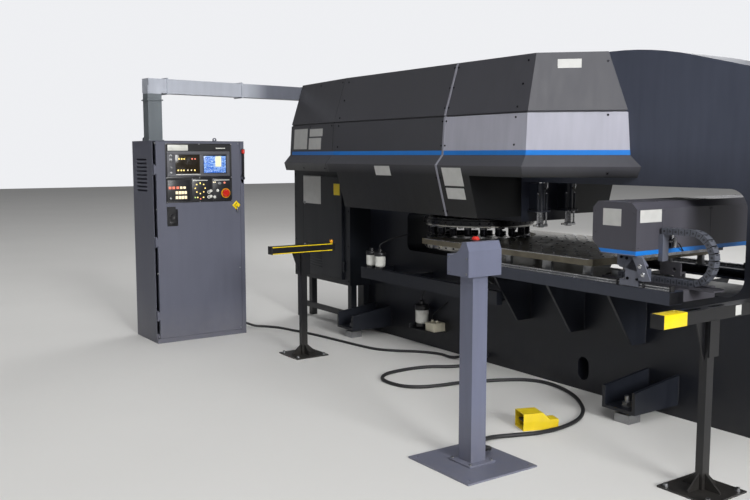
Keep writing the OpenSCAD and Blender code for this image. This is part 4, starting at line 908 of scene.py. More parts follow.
# %% Lamps of the panel
lamp_ring = [(312 + 47 * math.cos(math.radians(a)), 121 + 47 * math.sin(math.radians(a)))
             for a in range(0, 360, 45)]
upper_row, lower_row, foot_row = 380, 281, 40
on_door("yellow_lamps", lamp_yellow,
        lambda w: [lens(w, y, z, 6, 8) for y, z in lamp_ring]
        + [lens(w, y, upper_row, 7, 9, 5) for y in (120, 144, 167)]
        + [lens(w, y, lower_row, 7, 9, 5) for y in (111, 139, 162, 264)]
        + [lens(w, y, foot_row, 6, 8) for y in (287, 341)], 0)
on_door("red_lamps", lamp_red,
        lambda w: [lens(w, y, upper_row, 7, 9, 5) for y in (241, 269)]
        + [lens(w, 313, 27, 6, 8), lens(w, 547, 166, 9, 9)]
        + [panel_bar(w, y - 11, 119, y + 11, 140, 3, 8) for y in (32, 65, 102)], 0)
on_door("white_lamps", lamp_white,
        lambda w: [lens(w, y, lower_row, 6, 9, 5) for y in (199, 232)]
        + [lens(w, 440, 172, 6, 7), lens(w, 456, 172, 6, 7)]
        + [panel_bar(w, y - 11, z - 13, y + 11, z + 13, 3, 8) for y in (93, 121, 147, 174)
           for z in (44, 86)]
        + [panel_bar(w, y - 11, 119, y + 11, 140, 3, 8) for y in (134, 165)], 0.6)
on_door("green_lamps", lamp_green,
        lambda w: [lens(w, 264, foot_row, 6, 8), lens(w, 312, 160, 5, 7)], 0)

# %% Buttons, knobs and outlet of the panel
on_door("white_buttons", white_plastic,
        lambda w: [panel_disc(w, y, z, [(0, 13), (5, 13), (5, 9), (11, 9), (12, 7)])
                   for y, z in ((450, 40), (480, 98))]
        + [panel_disc(w, 394, z, [(3, 15), (7, 15), (7, 9.6), (3, 9.6)]) for z in (42, 85)], 0.5,
        ("panel_keys",))


def draw_knobs(work):
    """Four knobs with a pointer in the bezel, a key lock and a small knob below."""
    for z, radius in ((407, 10), (372, 14), (301, 10), (257, 11)):
        panel_disc(work, 44, z, [(12, radius + 3), (15, radius + 3), (15, radius), (27, radius * 0.85),
                                 (28, radius * 0.6)])
        work.bar((panel_face + 27, panel_left + 42.6, panel_low + z - radius * 0.7),
                 (panel_face + 29.5, panel_left + 45.4, panel_low + z + radius * 0.7))
    panel_disc(work, 500, 160, [(3, 14), (8, 14), (8, 10), (20, 9), (21, 6)])
    panel_disc(work, 36, 36, [(3, 10), (14, 9), (15, 6)])


def draw_outlet(work):
    """A blank plate with a round socket and four screws, below the panel."""
    work.bar((-1733, -2068, 1030), (-1729, -1971, 1178))
    work.turned([(0, 30), (7, 28), (7, 22), (3, 21), (3, 4)], (-1729, -2020, 1112), (1, 0, 0), 32)
    work.bar((-1729, -2048, 1046), (-1722, -1992, 1066))
    for y, z in ((-2058, 1040), (-1981, 1040), (-2058, 1168), (-1981, 1168)):
        work.turned([(0, 5), (2.5, 4)], (-1729, y, z), (1, 0, 0), 12)


on_door("panel_knobs", zinc_steel, draw_knobs, 0.6)
on_door("stop_ring", amber_plastic,
        lambda w: panel_disc(w, 558, 72, [(3, 44), (8, 42), (8, 35.4), (3, 35.4)], 40, True), 0.5)
on_door("outlet_plate", dark_plastic, draw_outlet, 1.0)
flats("panel_frame", film,
      ((0, 0, panel_width, 7), (0, 507, panel_width, panel_height), (0, 7, 7, 507),
       (614, 7, panel_width, 507), (7, 206, 614, 224)), -1, 2, 0.6)
fasten("panel_screws", "cabinet_door_body",
       [(panel_face + 2, panel_left + y, panel_low + z, (1, 0, 0))
        for y in (4, 310, 617) for z in (4, 215, 510)], 8, 2.5)

# %% [markdown]
# ## Stacks of drums
# Ball units, punches, dies and lock nuts are all small turned parts that repeat. One Geometry Nodes group
# describes such a part as a stack of drums, each with its heights, radii and finish, and sets it on every
# place.

# %% Tree for stacks of drums
def stack_tree(name, drums):
    """Group that sets a stack of drums on each vertex.

    A drum is its bottom, top, radius below, radius above, sides and finish."""
    tree = new_tree(name)
    given = put(tree, "NodeGroupInput")
    joined = put(tree, "GeometryNodeJoinGeometry")
    for bottom, top, below, above, sides, finish in reversed(drums):
        drum = put(tree, "GeometryNodeMeshCone", {"Vertices": sides, "Radius Bottom": below * MM,
                                                  "Radius Top": above * MM, "Depth": (top - bottom) * MM})
        set_down(tree, joined, drum.outputs["Mesh"], finish, (0.0, 0.0, bottom * MM))
    return repeated(tree, given, joined, outwards(tree))


def stack(name, drums, body, places, replaces=()):
    """One object with a stack of drums at places given as (x, y, z, facing) in millimetres."""
    made = run_tree(name, stack_tree(name, drums), {}, [p[:3] for p in places], [p[3] for p in places])
    made.data.set_sharp_from_angle(angle=math.radians(35))
    print(len(places), "stacks: ", end="")
    return carry(made, body, replaces)


def around(radius, z, count, first=0.0, outward=False):
    """Places on a circle about the turret's axis, facing up or outwards."""
    made = []
    for index in range(count):
        angle = math.radians(first + 360 * index / count)
        ahead = (math.cos(angle), math.sin(angle), 0.0)
        made.append((radius * ahead[0], radius * ahead[1], z, ahead if outward else (0, 0, 1)))
    return made


tool_circle, tool_count = 400, 20
tool_places = around(tool_circle, 0, tool_count)
print("tool stations:", len(tool_places))

# %% [markdown]
# ## Table
# The tables are cast aluminium with a bright machined rim. Sheets that slide over them leave a dark film
# with fine scratches that cross each other, and steel balls in the table let the sheet roll.

# %% Finish of the tables
def worn_table():
    """Bronze-grey sides, and a top with a dark film under crossing scratches."""
    made, tree, shader = new_finish("worn cast aluminium table", Metallic=0.85)
    at = put(tree, "ShaderNodeTexCoord", out="Object")
    # Scratches of 14 cm lie in three directions, 5 mm apart: real ones are finer, and wouldn't show.
    scratches = 0.0
    for turn in (0.35, -0.5, 1.35):
        turned = put(tree, "ShaderNodeMapping", {"Vector": at, "Rotation": (0.0, 0.0, turn),
                                                 "Scale": (3.0, 90.0, 1.0)}, "Vector")
        lines = put(tree, "ShaderNodeTexNoise", {"Vector": turned, "Scale": 2.4, "Detail": 3.0}, "Fac")
        fine = put(tree, "ShaderNodeMapRange", {"Value": lines, "From Min": 0.58, "From Max": 0.7}, "Result")
        scratches = put(tree, "ShaderNodeMath", {0: scratches, 1: fine}, "Value", operation="MAXIMUM")
    film = put(tree, "ShaderNodeTexNoise", {"Vector": at, "Scale": 7.0, "Detail": 6.0, "Roughness": 0.65},
               "Fac")
    patch = put(tree, "ShaderNodeMapRange", {"Value": film, "From Min": 0.35, "From Max": 0.7}, "Result")
    dark = put(tree, "ShaderNodeMix", {"Factor": patch, "A": paint_chip("3A3733"),
                                       "B": paint_chip("5A554C")}, "Result", data_type="RGBA")
    top = put(tree, "ShaderNodeMix", {"Factor": scratches, "A": dark, "B": paint_chip("A7A195")}, "Result",
              data_type="RGBA")
    side = put(tree, "ShaderNodeMix", {"Factor": patch, "A": paint_chip("857F70"),
                                       "B": paint_chip("6E685B")}, "Result", data_type="RGBA")
    normal = put(tree, "ShaderNodeNewGeometry", out="Normal")
    level = put(tree, "ShaderNodeSeparateXYZ", {"Vector": normal}, "Z")
    flat = put(tree, "ShaderNodeMapRange", {"Value": level, "From Min": 0.5, "From Max": 0.9}, "Result")
    colour = put(tree, "ShaderNodeMix", {"Factor": flat, "A": side, "B": top}, "Result", data_type="RGBA")
    gloss = put(tree, "ShaderNodeMapRange", {"Value": film, "From Min": 0.3, "From Max": 0.7,
                                             "To Min": 0.24, "To Max": 0.5}, "Result")
    surface(tree, shader, colour, gloss, scratches, 0.15, 0.3)
    return made


coat(worn_table(), "front_table", "centre_table", "rear_table")

# %% Balls, seams and screws of the tables
table_top = 990.0
ball_rows = (-580, -470, -360, -255, -85, 85, 255, 360, 470, 580)
ball_places = [(x, y, table_top, (0, 0, 1)) for x in range(540, 1760, 110) for y in ball_rows]
# Near black: painted shade for the gap round each ball and for each die's opening, and the dark joints
# between the table's plates.
dark_gap = moulded("dark gap round a ball", "0C0C0D", 0.5)
stack("ball_units", [(0, 1.4, 21, 19, 24, zinc_steel), (0, 1.7, 13, 12.4, 20, dark_gap),
                     (0, 2.4, 11, 9.6, 16, turned_steel), (2.4, 4.4, 9.6, 6.2, 16, turned_steel),
                     (4.4, 5.4, 6.2, 0.5, 16, turned_steel)],
      "machine", ball_places, ("ball_transfers",))

seams = Work()
for y in (-300, 300):
    seams.bar((372, y - 0.8, 989), (1798, y + 0.8, 990.3))
for x in (700, 1180):
    for y0, y1 in ((-622, -302), (-298, 298), (302, 622)):
        seams.bar((x - 0.7, y0, 989), (x + 0.7, y1, 990.25))
seams.done("table_seams", dark_gap, "machine", 0)
table_spots = []
for y in (-618, -309, -291, 291, 309, 618):
    table_spots += row((500, y, table_top), (1780, y, table_top), 9, (0, 0, 1))
fasten("table_screws", "machine", table_spots, 7, 0.5)

rim = Work()
for y in (-627, 626):
    rim.bar((60, y - 0.6, 984), (1770, y + 1.6, 989.6))
rim.done("table_rims", ground_steel, "machine", 0.6)

# %% [markdown]
# ## Turrets and their tools
# Twenty punches hang in the upper turret and twenty dies sit in the lower one. The tools are black with
# bright guide rings, so that from the side they read as a dark row with small glints.

# %% Finish of the turret discs
def turret_finish():
    """Turned disc with an oily dark side and bright lands near its edges."""
    made, tree, shader = new_finish("oiled turret steel", Metallic=1.0)
    at = put(tree, "ShaderNodeTexCoord", out="Object")
    high = put(tree, "ShaderNodeSeparateXYZ", {"Vector": at}, "Z")
    lines = put(tree, "ShaderNodeTexNoise", {"Vector": stretched(tree, (1.0, 1.0, 60.0)), "Scale": 6.0,
                                             "Detail": 3.0}, "Fac")
    cloud = put(tree, "ShaderNodeTexNoise", {"Vector": at, "Scale": 9.0, "Detail": 5.0}, "Fac")
    low = put(tree, "ShaderNodeMapRange", {"Value": high, "From Min": 1.090, "From Max": 1.086}, "Result")
    land = put(tree, "ShaderNodeMath", {0: low, 1: cloud}, "Value", operation="MULTIPLY")
    dark = put(tree, "ShaderNodeMix", {"Factor": lines, "A": paint_chip("1B1B1D"),
                                       "B": paint_chip("4A4A4C")}, "Result", data_type="RGBA")
    colour = put(tree, "ShaderNodeMix", {"Factor": land, "A": dark, "B": paint_chip("F0EEE8")}, "Result",
                 data_type="RGBA")
    gloss = put(tree, "ShaderNodeMapRange", {"Value": cloud, "From Min": 0.3, "From Max": 0.7,
                                             "To Min": 0.16, "To Max": 0.34}, "Result")
    tree.links.new(colour, shader.inputs["Base Color"])
    tree.links.new(gloss, shader.inputs["Roughness"])
    return made


coat(turret_finish(), "upper_turret", "lower_turret")

# %% Punches, dies and turret screws
punch = [(1002, 1016, 24, 29, 28, black_oxide), (1016, 1024, 30, 30, 28, black_oxide),
         (1024, 1027, 31.5, 31.5, 28, black_oxide)]
for step in range(3):
    low = 1027 + step * 12
    punch += [(low, low + 9, 28.5, 28.5, 28, black_oxide), (low + 9, low + 12, 30.5, 30.5, 28, black_oxide)]
punch += [(1063, 1065, 31.5, 31.5, 28, turned_steel), (1066, 1075, 30, 30, 28, black_oxide),
          (1139, 1143, 39, 38, 28, zinc_steel), (1143, 1145.5, 33, 31, 28, black_oxide),
          (998.6, 1002, 9, 9, 16, turned_steel)]
stack("punches", punch, "upper_turret_body", tool_places, ("punch_holders",))
# The thin dark disc on top of each die stands for its opening: painted shade of the hole.
die = [(950, 984, 38, 38, 32, black_oxide), (984, 987.4, 37, 35, 32, turned_steel),
       (987.3, 987.7, 16, 16, 20, dark_gap), (962, 965, 38.4, 38.4, 32, zinc_steel)]
stack("dies", die, "lower_turret_body", tool_places, ("die_holders",))
rim_screws = 2 * tool_count
for name, body, places, width, height in (
        ("turret_rim_screws", "upper", around(461.5, 1107, rim_screws, 4.5, True), 12, 3.5),
        ("turret_top_screws", "upper", around(330, 1140, tool_count, 9), 14, 7),
        ("die_ring_screws", "lower", around(340, 950, tool_count, 9), 12, 6),
        ("lower_rim_screws", "lower", around(453.5, 900, rim_screws, 4.5, True), 12, 3.0)):
    fasten(name, body + "_turret_body", places, width, height, black_oxide)

# %% [markdown]
# ## Work holders
# Two small air cylinders push a pad on the sheet beside the turret. Each has a return spring round its
# rod, a bright plate with four screws, and an elbow for its air hose.

# %% Springs, plates and elbows of the work holders
holder_x, holder_y = 864, 150
for side, body in ((-1, "front_holder"), (1, "rear_holder")):
    spring = Work()
    turns = [2 * math.pi * k / 12 for k in range(85)]
    spring.pipe([(holder_x + 24 * math.cos(t), side * holder_y + 24 * math.sin(t), 1131 + 82 * k / 84)
                 for k, t in enumerate(turns)], 2.4, 8, 1)
    spring.done(body + "_spring", zinc_steel, body, 0)
    collars = Work()
    for dx, dy, radius in ((0, 0, 24), (15, -44, 12), (15, 44, 12)):
        collars.turned([(0, radius), (7, radius), (9, radius - 2)],
                       (holder_x + dx, side * holder_y + dy, 1128.4), (0, 0, 1), 28)
    collars.done(body + "_collars", turned_steel, body, 0.5)

ring = Work()
for y in (-holder_y, holder_y):
    ring.turned([(0, 52), (4, 52), (4, 22), (0, 22)], (holder_x, y, 1220.8), (0, 0, 1), 48)
    ring.turned([(0, 30), (12, 30), (14, 28)], (holder_x, y, 1440), (0, 0, 1), 32)
    ring.rod((holder_x, y, 1452), (holder_x, y, 1470), 7)
    ring.pipe([(898, y, 1400), (922, y, 1402), (930, y, 1420), (930, y, 1450)], 6, 12)
ring.done("holder_rings", turned_steel, "machine", 0.6)
fasten("holder_screws", "machine",
       [(x, y + s * 46, 1240, (0, 0, 1)) for x in (800, 910) for y in (-holder_y, holder_y)
        for s in (-1, 1)], 11, 6, black_oxide)

# %% [markdown]
# ## Work clamps
# Three clamps hold the sheet's edge. Their jaws have a row of teeth, and each is worked by a short air
# cylinder.

# %% Clamp cylinders, teeth and screws
clamp_ys = (-250, 0, 250)
air = Work()
for y in clamp_ys:
    air.turned([(0, 14), (4, 17), (34, 17), (38, 13)], (1806, y, 1049), (0, 0, 1), 28)
    air.pipe([(1822, y, 1074), (1840, y, 1080), (1862, y, 1078), (1878, y, 1072)], 3.5, 10)
air.done("clamp_cylinders", zinc_steel, "cross_slide_body", 0.6)
fasten("clamp_screws", "cross_slide_body",
       [(x, y + s * 35.2, 1024, (0, s, 0)) for x in (1834, 1862) for y in clamp_ys for s in (-1, 1)],
       9, 4, black_oxide)
for letter, y in zip("abc", reversed(clamp_ys)):
    teeth = Work()
    for step in range(6):
        teeth.bar((1754 + 5 * step, y - 18, 1009.2), (1756.4 + 5 * step, y + 18, 1010.8))
    teeth.done("jaw_teeth_" + letter, zinc_steel, "jaw_" + letter, 0.3, 1)

# %% [markdown]
# ## Drag chain
# The leads to the carriage run in a chain of plastic links. One Geometry Nodes tree makes a link, with
# its two side plates, its bars and its rivets, and sets a copy at every pitch along the lower run, round
# the bend and back along the upper run.

# %% Places of the links
chain_centre, chain_y, chain_mid, pitch = (2414.0, 1047.0), -472.5, 150.0, 40.0
links = [(chain_centre[0] - pitch * (k + 0.5), chain_centre[1] - chain_mid, 90.0)
         for k in range(13, -1, -1)]
turns = round(math.pi * chain_mid / pitch)
for k in range(turns):
    swing = -90 + 180 * (k + 0.5) / turns
    links.append((chain_centre[0] + chain_mid * math.cos(math.radians(swing)),
                  chain_centre[1] + chain_mid * math.sin(math.radians(swing)), -swing))
links += [(chain_centre[0] - pitch * (k + 0.5), chain_centre[1] + chain_mid, -90.0) for k in range(5)]
link_light = moulded("glass-filled nylon with a worn grey face", "5C5F68", 0.42, 0.8, 0.12, 0.15)


def link_tree(length):
    """Group that sets a chain link on each vertex; 'facing' holds the link's turn."""
    tree = new_tree("chain link")
    given = put(tree, "NodeGroupInput")
    joined = put(tree, "GeometryNodeJoinGeometry")

    def block(size, place, finish):
        cube = put(tree, "GeometryNodeMeshCube", {"Size": tuple(c * MM for c in size)})
        set_down(tree, joined, cube.outputs["Mesh"], finish, tuple(c * MM for c in place))

    for side in (-1, 1):
        block((length * 0.94, 3.0, 38), (0, side * 24.6, 0), link_light)
        block((length * 1.04, 3.0, 32), (0, side * 21.4, 0), nylon)
        block((3.0, 1.4, 38), (-length * 0.46, side * 26.2, 0), nylon)
        for sides, radius, depth, out, finish in ((16, 6.5, 2.2, 26.6, nylon),
                                                  (12, 2.6, 3.0, 26.9, link_light)):
            rivet = put(tree, "GeometryNodeMeshCylinder", {"Vertices": sides, "Radius": radius * MM,
                                                           "Depth": depth * MM})
            set_down(tree, joined, rivet.outputs["Mesh"], finish,
                     (length * 0.02 * MM, side * out * MM, 0.0), (math.pi / 2, 0.0, 0.0))
    for level in (-16.5, 16.5):
        block((length * 0.9, 44, 4.0), (0, 0, level), link_light)
        block((length * 0.14, 20, 2.0), (-length * 0.3, 0, level * 1.12), nylon)
    turn = put(tree, "GeometryNodeInputNamedAttribute", {"Name": "facing"}, "Attribute",
               data_type="FLOAT_VECTOR")
    return repeated(tree, given, joined, turn)


chain = run_tree("energy_chain", link_tree(pitch), {}, [(x, chain_y, z) for x, z, _ in links],
                 [(0.0, math.radians(90 + swing if swing > -91 else 0), 0.0) for _, _, swing in links])
for polygon in chain.data.polygons:
    polygon.use_smooth = True
chain.data.set_sharp_from_angle(angle=math.radians(35))
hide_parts("drag_chain")
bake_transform(chain)
print("links:", len(links))

# %% Clips, leads and screws at the chain's ends
clips = Work()
for y in (-502.5, -445):
    clips.bar((1846, y, 877), (1896, y + 2.5, 922))
clips.bar((1846, -502, 876.6), (1896, -443, 879))
clips.done("chain_foot_clip", zinc_steel, "machine", 0.8)
leads = Work()
for k, y in enumerate((-486, -474, -462)):
    leads.pipe([(1870, y, 897), (1835, y, 897), (1800, y + 4 * k, 890), (1760, y + 30, 872)],
               4.5 - k * 0.8, 10)
leads.done("chain_leads", rubber, "machine", 0)
upper_leads = Work()
for k, y in enumerate((-486, -472, -459)):
    upper_leads.pipe([(2262, y, 1197), (2244, y, 1197), (2228, y, 1190), (2214, y, 1170 - 8 * k),
                      (2206, y, 1130)], 4.2 - k * 0.7, 10)
upper_leads.done("carriage_leads", rubber, "carriage", 0)

# %% [markdown]
# ## Carriage
# The carriage's cover is folded sheet with a welded end. It has a joint a little way along, a few painted
# screws, and blank plates on its end and its side. Under it sit a motor housing, its bracket and an air
# valve, and rubber wipers run along the rails.

# %% Joints, plates and screws of the carriage
trim = Work()
for y in (-466, 15):
    trim.bar((2197.4, y - 3, 1084), (2199.2, y + 3, 1329))
    trim.plate([(2198.6, 1329), (2158.6, 1370.6), (1905, 1370.6), (1905, 1369), (2157, 1369),
                (2197, 1328.5)], 1, y - 3, y + 3)
trim.done("carriage_joints", carriage_paint, "carriage", 0.4)
edges = Work()
for y in (-711.4, 709.8):
    edges.plate([(1942, 1057), (2197, 1057), (2197, 1060), (1943, 1060)], 1, y, y + 1.6)
edges.done("carriage_lower_edge", strip_paint, "carriage", 0.4)
blanks = Work()
blanks.bar((1946, -711.3, 1225), (2084, -710, 1328))
blanks.bar((2198, -679, 1250), (2199.2, -480, 1325))
blanks.done("carriage_blank_plates", white_plate, "carriage", 0.3, 1)
screw_ys = (-690, -478, -454, 3, 27, 690)
carriage_spots = [(x, y * 710.2, z, (0, y, 0)) for y in (-1, 1)
                  for x, z in ((1890, 1180), (1890, 1310), (2180, 1310), (2180, 1100))]
carriage_spots += [(2198.2, y, z, (1, 0, 0)) for y in screw_ys for z in (1100, 1315)]
carriage_spots += [(x, y, 1370.2, (0, 0, 1)) for x in (1925, 2140) for y in screw_ys]
fasten("carriage_screws", "carriage", carriage_spots, 9, 2.5, carriage_paint, black_oxide)

# %% Motor housing and air valve under the carriage
housing_paint = painted("blue-grey enamel on the motor housing", "4F535F", 0.36, 2.5, 0.10, 0.12,
                        scuff=0.15)
housing = Work()
housing.bar((2040, -684, 986), (2122, -640, 1052))
housing.plate([(2062, 980), (2196, 960), (2214, 985), (2168, 1050), (2062, 1050)], 1, -692, -684)
housing.turned([(0, 20), (30, 20), (34, 17), (34, 8), (48, 8)], (2090, -640, 1029), (0, 1, 0), 36)
housing.bar((2236, -680, 906), (2262, -640, 980))
housing.done("carriage_housing", housing_paint, "carriage", 2.0)
valve = Work()
valve.bar((2204, -420, 1090), (2232, -372, 1150))
valve.turned([(0, 11), (26, 11), (28, 9)], (2218, -396, 1150), (0, 0, 1), 24)
valve.rod((2218, -440, 1128), (2218, -420, 1128), 7)
valve.rod((2218, -372, 1112), (2218, -352, 1112), 7)
valve.done("air_valve", turned_steel, "carriage", 1.0)
hoses = Work()
hoses.pipe([(2218, -438, 1128), (2219, -455, 1124), (2222, -470, 1100), (2216, -480, 1060),
            (2208, -500, 1058)], 4, 10)
hoses.pipe([(2218, -352, 1112), (2220, -330, 1108), (2216, -300, 1080), (2206, -270, 1062)], 4, 10)
hoses.done("valve_hoses", rubber, "carriage", 0)

# %% Caps, bolts and wipers under the carriage
hub = Work()
for x, z in ((2225, 996), (2249, 948)):
    hub.turned([(0, 15), (5, 15), (9, 11), (9, 5), (12, 5)], (x, -700.2, z), (0, -1, 0), 24)
hub.done("bracket_caps", turned_steel, "carriage", 0.6)
fasten("bracket_bolts", "carriage",
       [(x, -692.5, z, (0, -1, 0)) for x, z in ((2130, 915), (2200, 915), (2080, 1040), (2120, 1035))]
       + [(2235.5, y, z, (1, 0, 0)) for y in (-680, -650) for z in (925, 985)],
       13, 8, black_oxide)
wipers = Work()
for y in (-691, 639):
    for x in (2044, 2235):
        wipers.bar((x, y, 866), (x + 6, y + 10, 905))
        wipers.bar((x, y + 42, 866), (x + 6, y + 52, 905))
        wipers.bar((x, y + 10, 892), (x + 6, y + 42, 905))
wipers.done("rail_wipers", rubber, "carriage", 1)

# %% Rails: fixing screws, stops and beam details
fasten("rail_screws", "machine",
       [(x, y, 891, (0, 0, 1)) for x in range(900, 2400, 60) for y in (-665, 665)],
       7, 0.4)
stops = Work()
for y in (-683, 647):
    stops.bar((2421, y, 865), (2433, y + 36, 900))
    stops.turned([(0, 11), (-12, 11), (-15, 7)], (2421, y + 18, 885), (1, 0, 0), 20)
stops.done("rail_stops", rubber, "machine", 1.5)
fasten("beam_bolts", "machine",
       [(x, y, 802.2, (0, 0, 1)) for x in range(900, 2400, 160) for y in (-610, 610)],
       16, 9, black_oxide)
plate_end = Work()
plate_end.plate([(-698, 792), (-572, 792), (-572, 864), (-698, 864)], 0, 2435, 2438)
plate_end.done("beam_end_plate", stand_paint, "machine", 1.0)

# %% [markdown]
# ## Oil reservoirs
# Three small bowls hold oil for the air and the slides. Each has a dark cap with a filler, a milky bowl
# and a bracket. Beside the lowest one stands a cream valve box.

# %% Bowls, caps and the valve box
for name, x, y, z, r, h in (("a", -770, -567, 660, 52, 190), ("b", -640, -567, 660, 52, 190),
                            ("c", -330, -344, 180, 62, 240)):
    cap = Work()
    cap.turned([(0.62 * h, r), (0.76 * h, r), (0.8 * h, r * 0.9), (0.8 * h, r * 0.35),
                (0.93 * h, r * 0.35), (0.95 * h, r * 0.2)], (x, y, z), (0, 0, 1), 36)
    cap.turned([(0, r * 0.8), (0.12 * h, r * 0.85)], (x, y, z), (0, 0, 1), 36)
    cap.bar((x - 14, y, z + 0.63 * h), (x + 14, y + (r + 8), z + 0.74 * h))
    cap.done("reservoir_cap_" + name, dark_plastic, "machine", 1.2)
    bowl = Work()
    bowl.turned([(0.12 * h, r * 0.72), (0.18 * h, r * 0.9), (0.6 * h, r * 0.92), (0.62 * h, r * 0.85)],
                (x, y, z), (0, 0, 1), 40)
    bowl.done("reservoir_bowl_" + name, bowl_plastic, "machine", 0.8,
              replaces=("oil_reservoirs",) if name == "a" else ())
shelf = Work()
shelf.bar((-420, -414, 160), (-90, -264, 166))
shelf.bar((-420, -414, 166), (-416, -264, 200))
shelf.done("reservoir_shelf", box_paint, "machine", 1.0)
box = Work()
box.bar((-230, -384, 166), (-110, -264, 236))
box.turned([(0, 12), (18, 12), (20, 9)], (-200, -330, 236), (0, 0, 1), 24)
box.turned([(0, 12), (18, 12), (20, 9)], (-140, -330, 236), (0, 0, 1), 24)
box.done("valve_box", moulded("cream moulded box", "CFC9B4", 0.4), "machine", 2.5)
oil = Work()
oil.pipe([(-330, -344, 412), (-330, -344, 450), (-300, -320, 500), (-240, -280, 520),
          (-200, -268, 560)], 5, 10)
oil.pipe([(-200, -330, 254), (-196, -330, 300), (-150, -290, 360), (-80, -270, 420)], 4, 10)
oil.pipe([(-640, -567, 838), (-640, -560, 880), (-600, -450, 930), (-560, -300, 960)], 5, 10)
oil.done("oil_lines", rubber, "machine", 0)

# %% [markdown]
# ## Frame, feet and hydraulic box
# The brackets are welded on, so a small bead runs along each joint. The feet stand on plates with a lock
# nut, and the hydraulic box has a door with two latches, a folded edge and vent slots.

# %% Weld beads and foot nuts
welds = Work()
for y in (-half_frame - 1, half_frame + 1):
    for half_plate, low, high, bead, xs in ((10, 432, 788, 3.2, (888, 1411, 1934)),
                                            (12, 102, 266, 3.5, (-1147, -908, 1967, 2196))):
        for x in xs:
            for edge in (-half_plate, half_plate):
                welds.rod((x + edge, y, low), (x + edge, y, high), bead, 8)
welds.done("weld_beads", frame_paint, "machine", 0)
feet = [(x, y, 100, (0, 0, 1)) for x in (-1027.5, 2081.5) for y in (-593, 593)]
stack("foot_nuts", [(0, 4, 40, 40, 32, zinc_steel), (4, 26, 33, 33, 6, zinc_steel),
                    (26, 62, 20.5, 20.5, 24, turned_steel), (62, 65, 20.5, 17, 24, turned_steel)],
      "machine", feet)

# %% Fittings of the hydraulic box
latch = Work()
for z in (760, 1180):
    latch.turned([(0, 16), (6, 16), (8, 13)], (-2020, -517, z), (0, -1, 0), 28)
    latch.bar((-2023, -529, z - 11), (-2017, -524, z + 11))
latch.done("door_latches", zinc_steel, "hydraulic_door_body", 0.8)
door = Work()
for x0, x1, z0, z1 in ((-2056, -1344, 484, 487), (-2056, -1344, 1441, 1444),
                       (-2056, -2053, 484, 1444), (-1347, -1344, 484, 1444)):
    door.bar((x0, -518.4, z0), (x1, -516.8, z1))
for k in range(10):
    door.bar((-1960, -520, 560 + 26 * k), (-1700, -516.8, 570 + 26 * k))
door.done("door_edges_and_vents", box_paint, "hydraulic_door_body", 1.2)
slab("door_blank_plate", white_plate, "hydraulic_door_body", (-2049, -518.2, 1176),
     (-1715, -517, 1448), 0.3, 1)
slab("door_yellow_plate", yellow_paint, "hydraulic_door_body", (-1481, -518.2, 1274),
     (-1374, -517, 1381), 0.3, 1)
fasten("box_screws", "machine",
       [(x, -496, z, (0, -1, 0)) for x in (-2245, -1256) for z in (470, 800, 1130, 1460)]
       + row((-1380, -264.5, 700), (-1380, -264.5, 1150), 4, (0, -1, 0)),
       11, 5, black_oxide)

# %% [markdown]
# ## Cabinet, duct and pedestal
# The main switch has a red grip, a key hangs in the yellow key switch, and the sheet-metal duct is bolted
# together at its flanges. The pedestal's post stands on a flange that is bolted to its floor plate, and
# one of its buttons sits in a collar.

# %% Switch, key, duct and door screws of the cabinet
grip = Work()
grip.turned([(0, 12), (4, 15), (36, 15), (42, 10)], (-1705, -1344, 1662), (0, 0, 1), 28)
grip.done("switch_grip", red_plastic, "switch_handle_body", 1.0)
rosette = Work()
rosette.plate([(-1344 + 12.5 * math.sin(a * math.pi / 8), 1440 + 46 * math.cos(a * math.pi / 8))
               for a in range(16)], 0, -1733, -1729)
rosette.done("switch_plate", black_oxide, "machine", 0.8)
diamond = Work()
diamond.turned([(0, 40), (7.2, 40), (7.2, 22.8), (0, 22.8)], (-1733.2, -1409, 1196), (1, 0, 0), 4, True)
diamond.done("key_diamond", yellow_paint, "cabinet_door_body", 0.6)
keys = Work()
keys.turned([(0, 9), (2, 9), (2, 6), (0, 6)], (-1703, -1409, 1178), (0, 1, 0), 24)
keys.bar((-1704, -1413, 1136), (-1701.5, -1403, 1172))
keys.done("hanging_key", zinc_steel, "key_switch_body", 0.4)
corners = [(a, b) for a in (-1, 1) for b in (-1, 1)]
fasten("duct_screws", "machine",
       [(-1990 + a * 60, -2079 + b * 60, z, (0, 0, 1)) for z in (1784.5, 2135.5) for a, b in corners],
       10, 6)
fasten("door_screws", "cabinet_door_body",
       [(-1732.8, y, z, (1, 0, 0)) for y in (-2165, -1380) for z in (60, 620, 1180, 1752)],
       9, 3)

# %% Collar, seam, flange and bolts of the pedestal
post_x, post_y = 2085, -1870
collar = Work()
collar.turned([(0, 34), (2, 34), (5, 29), (5, 23.5), (0, 23.5)], (2093, post_y, 1204), (0, 0, 1), 36, True)
collar.done("button_collar", black_oxide, "machine", 0.8)
slab("head_seam", box_paint, "machine", (2135, -1976, 1024), (2136.4, -1764, 1027), 0)
slab("post_flange", pedestal_paint, "machine", (1995, -1960, 9.5), (2175, -1780, 20), 1.5)
fasten("pedestal_bolts", "machine",
       [(post_x + a * 74, post_y + b * 74, 20, (0, 0, 1)) for a, b in corners], 13, 8)
fasten("head_screws", "machine",
       [(post_x + a * 70, -1983.2, z, (0, -1, 0)) for a in (-1, 1) for z in (1040, 1120)],
       8, 3)

# %% [markdown]
# ## Foot switch, guards and strain reliefs
# The right guard bar carries a yellow sleeve and a blank plate, the left one yellow edges and a small
# lamp, and the pedal has rubber ribs. Each lead leaves its gland through a ribbed rubber sleeve that
# narrows towards the lead.

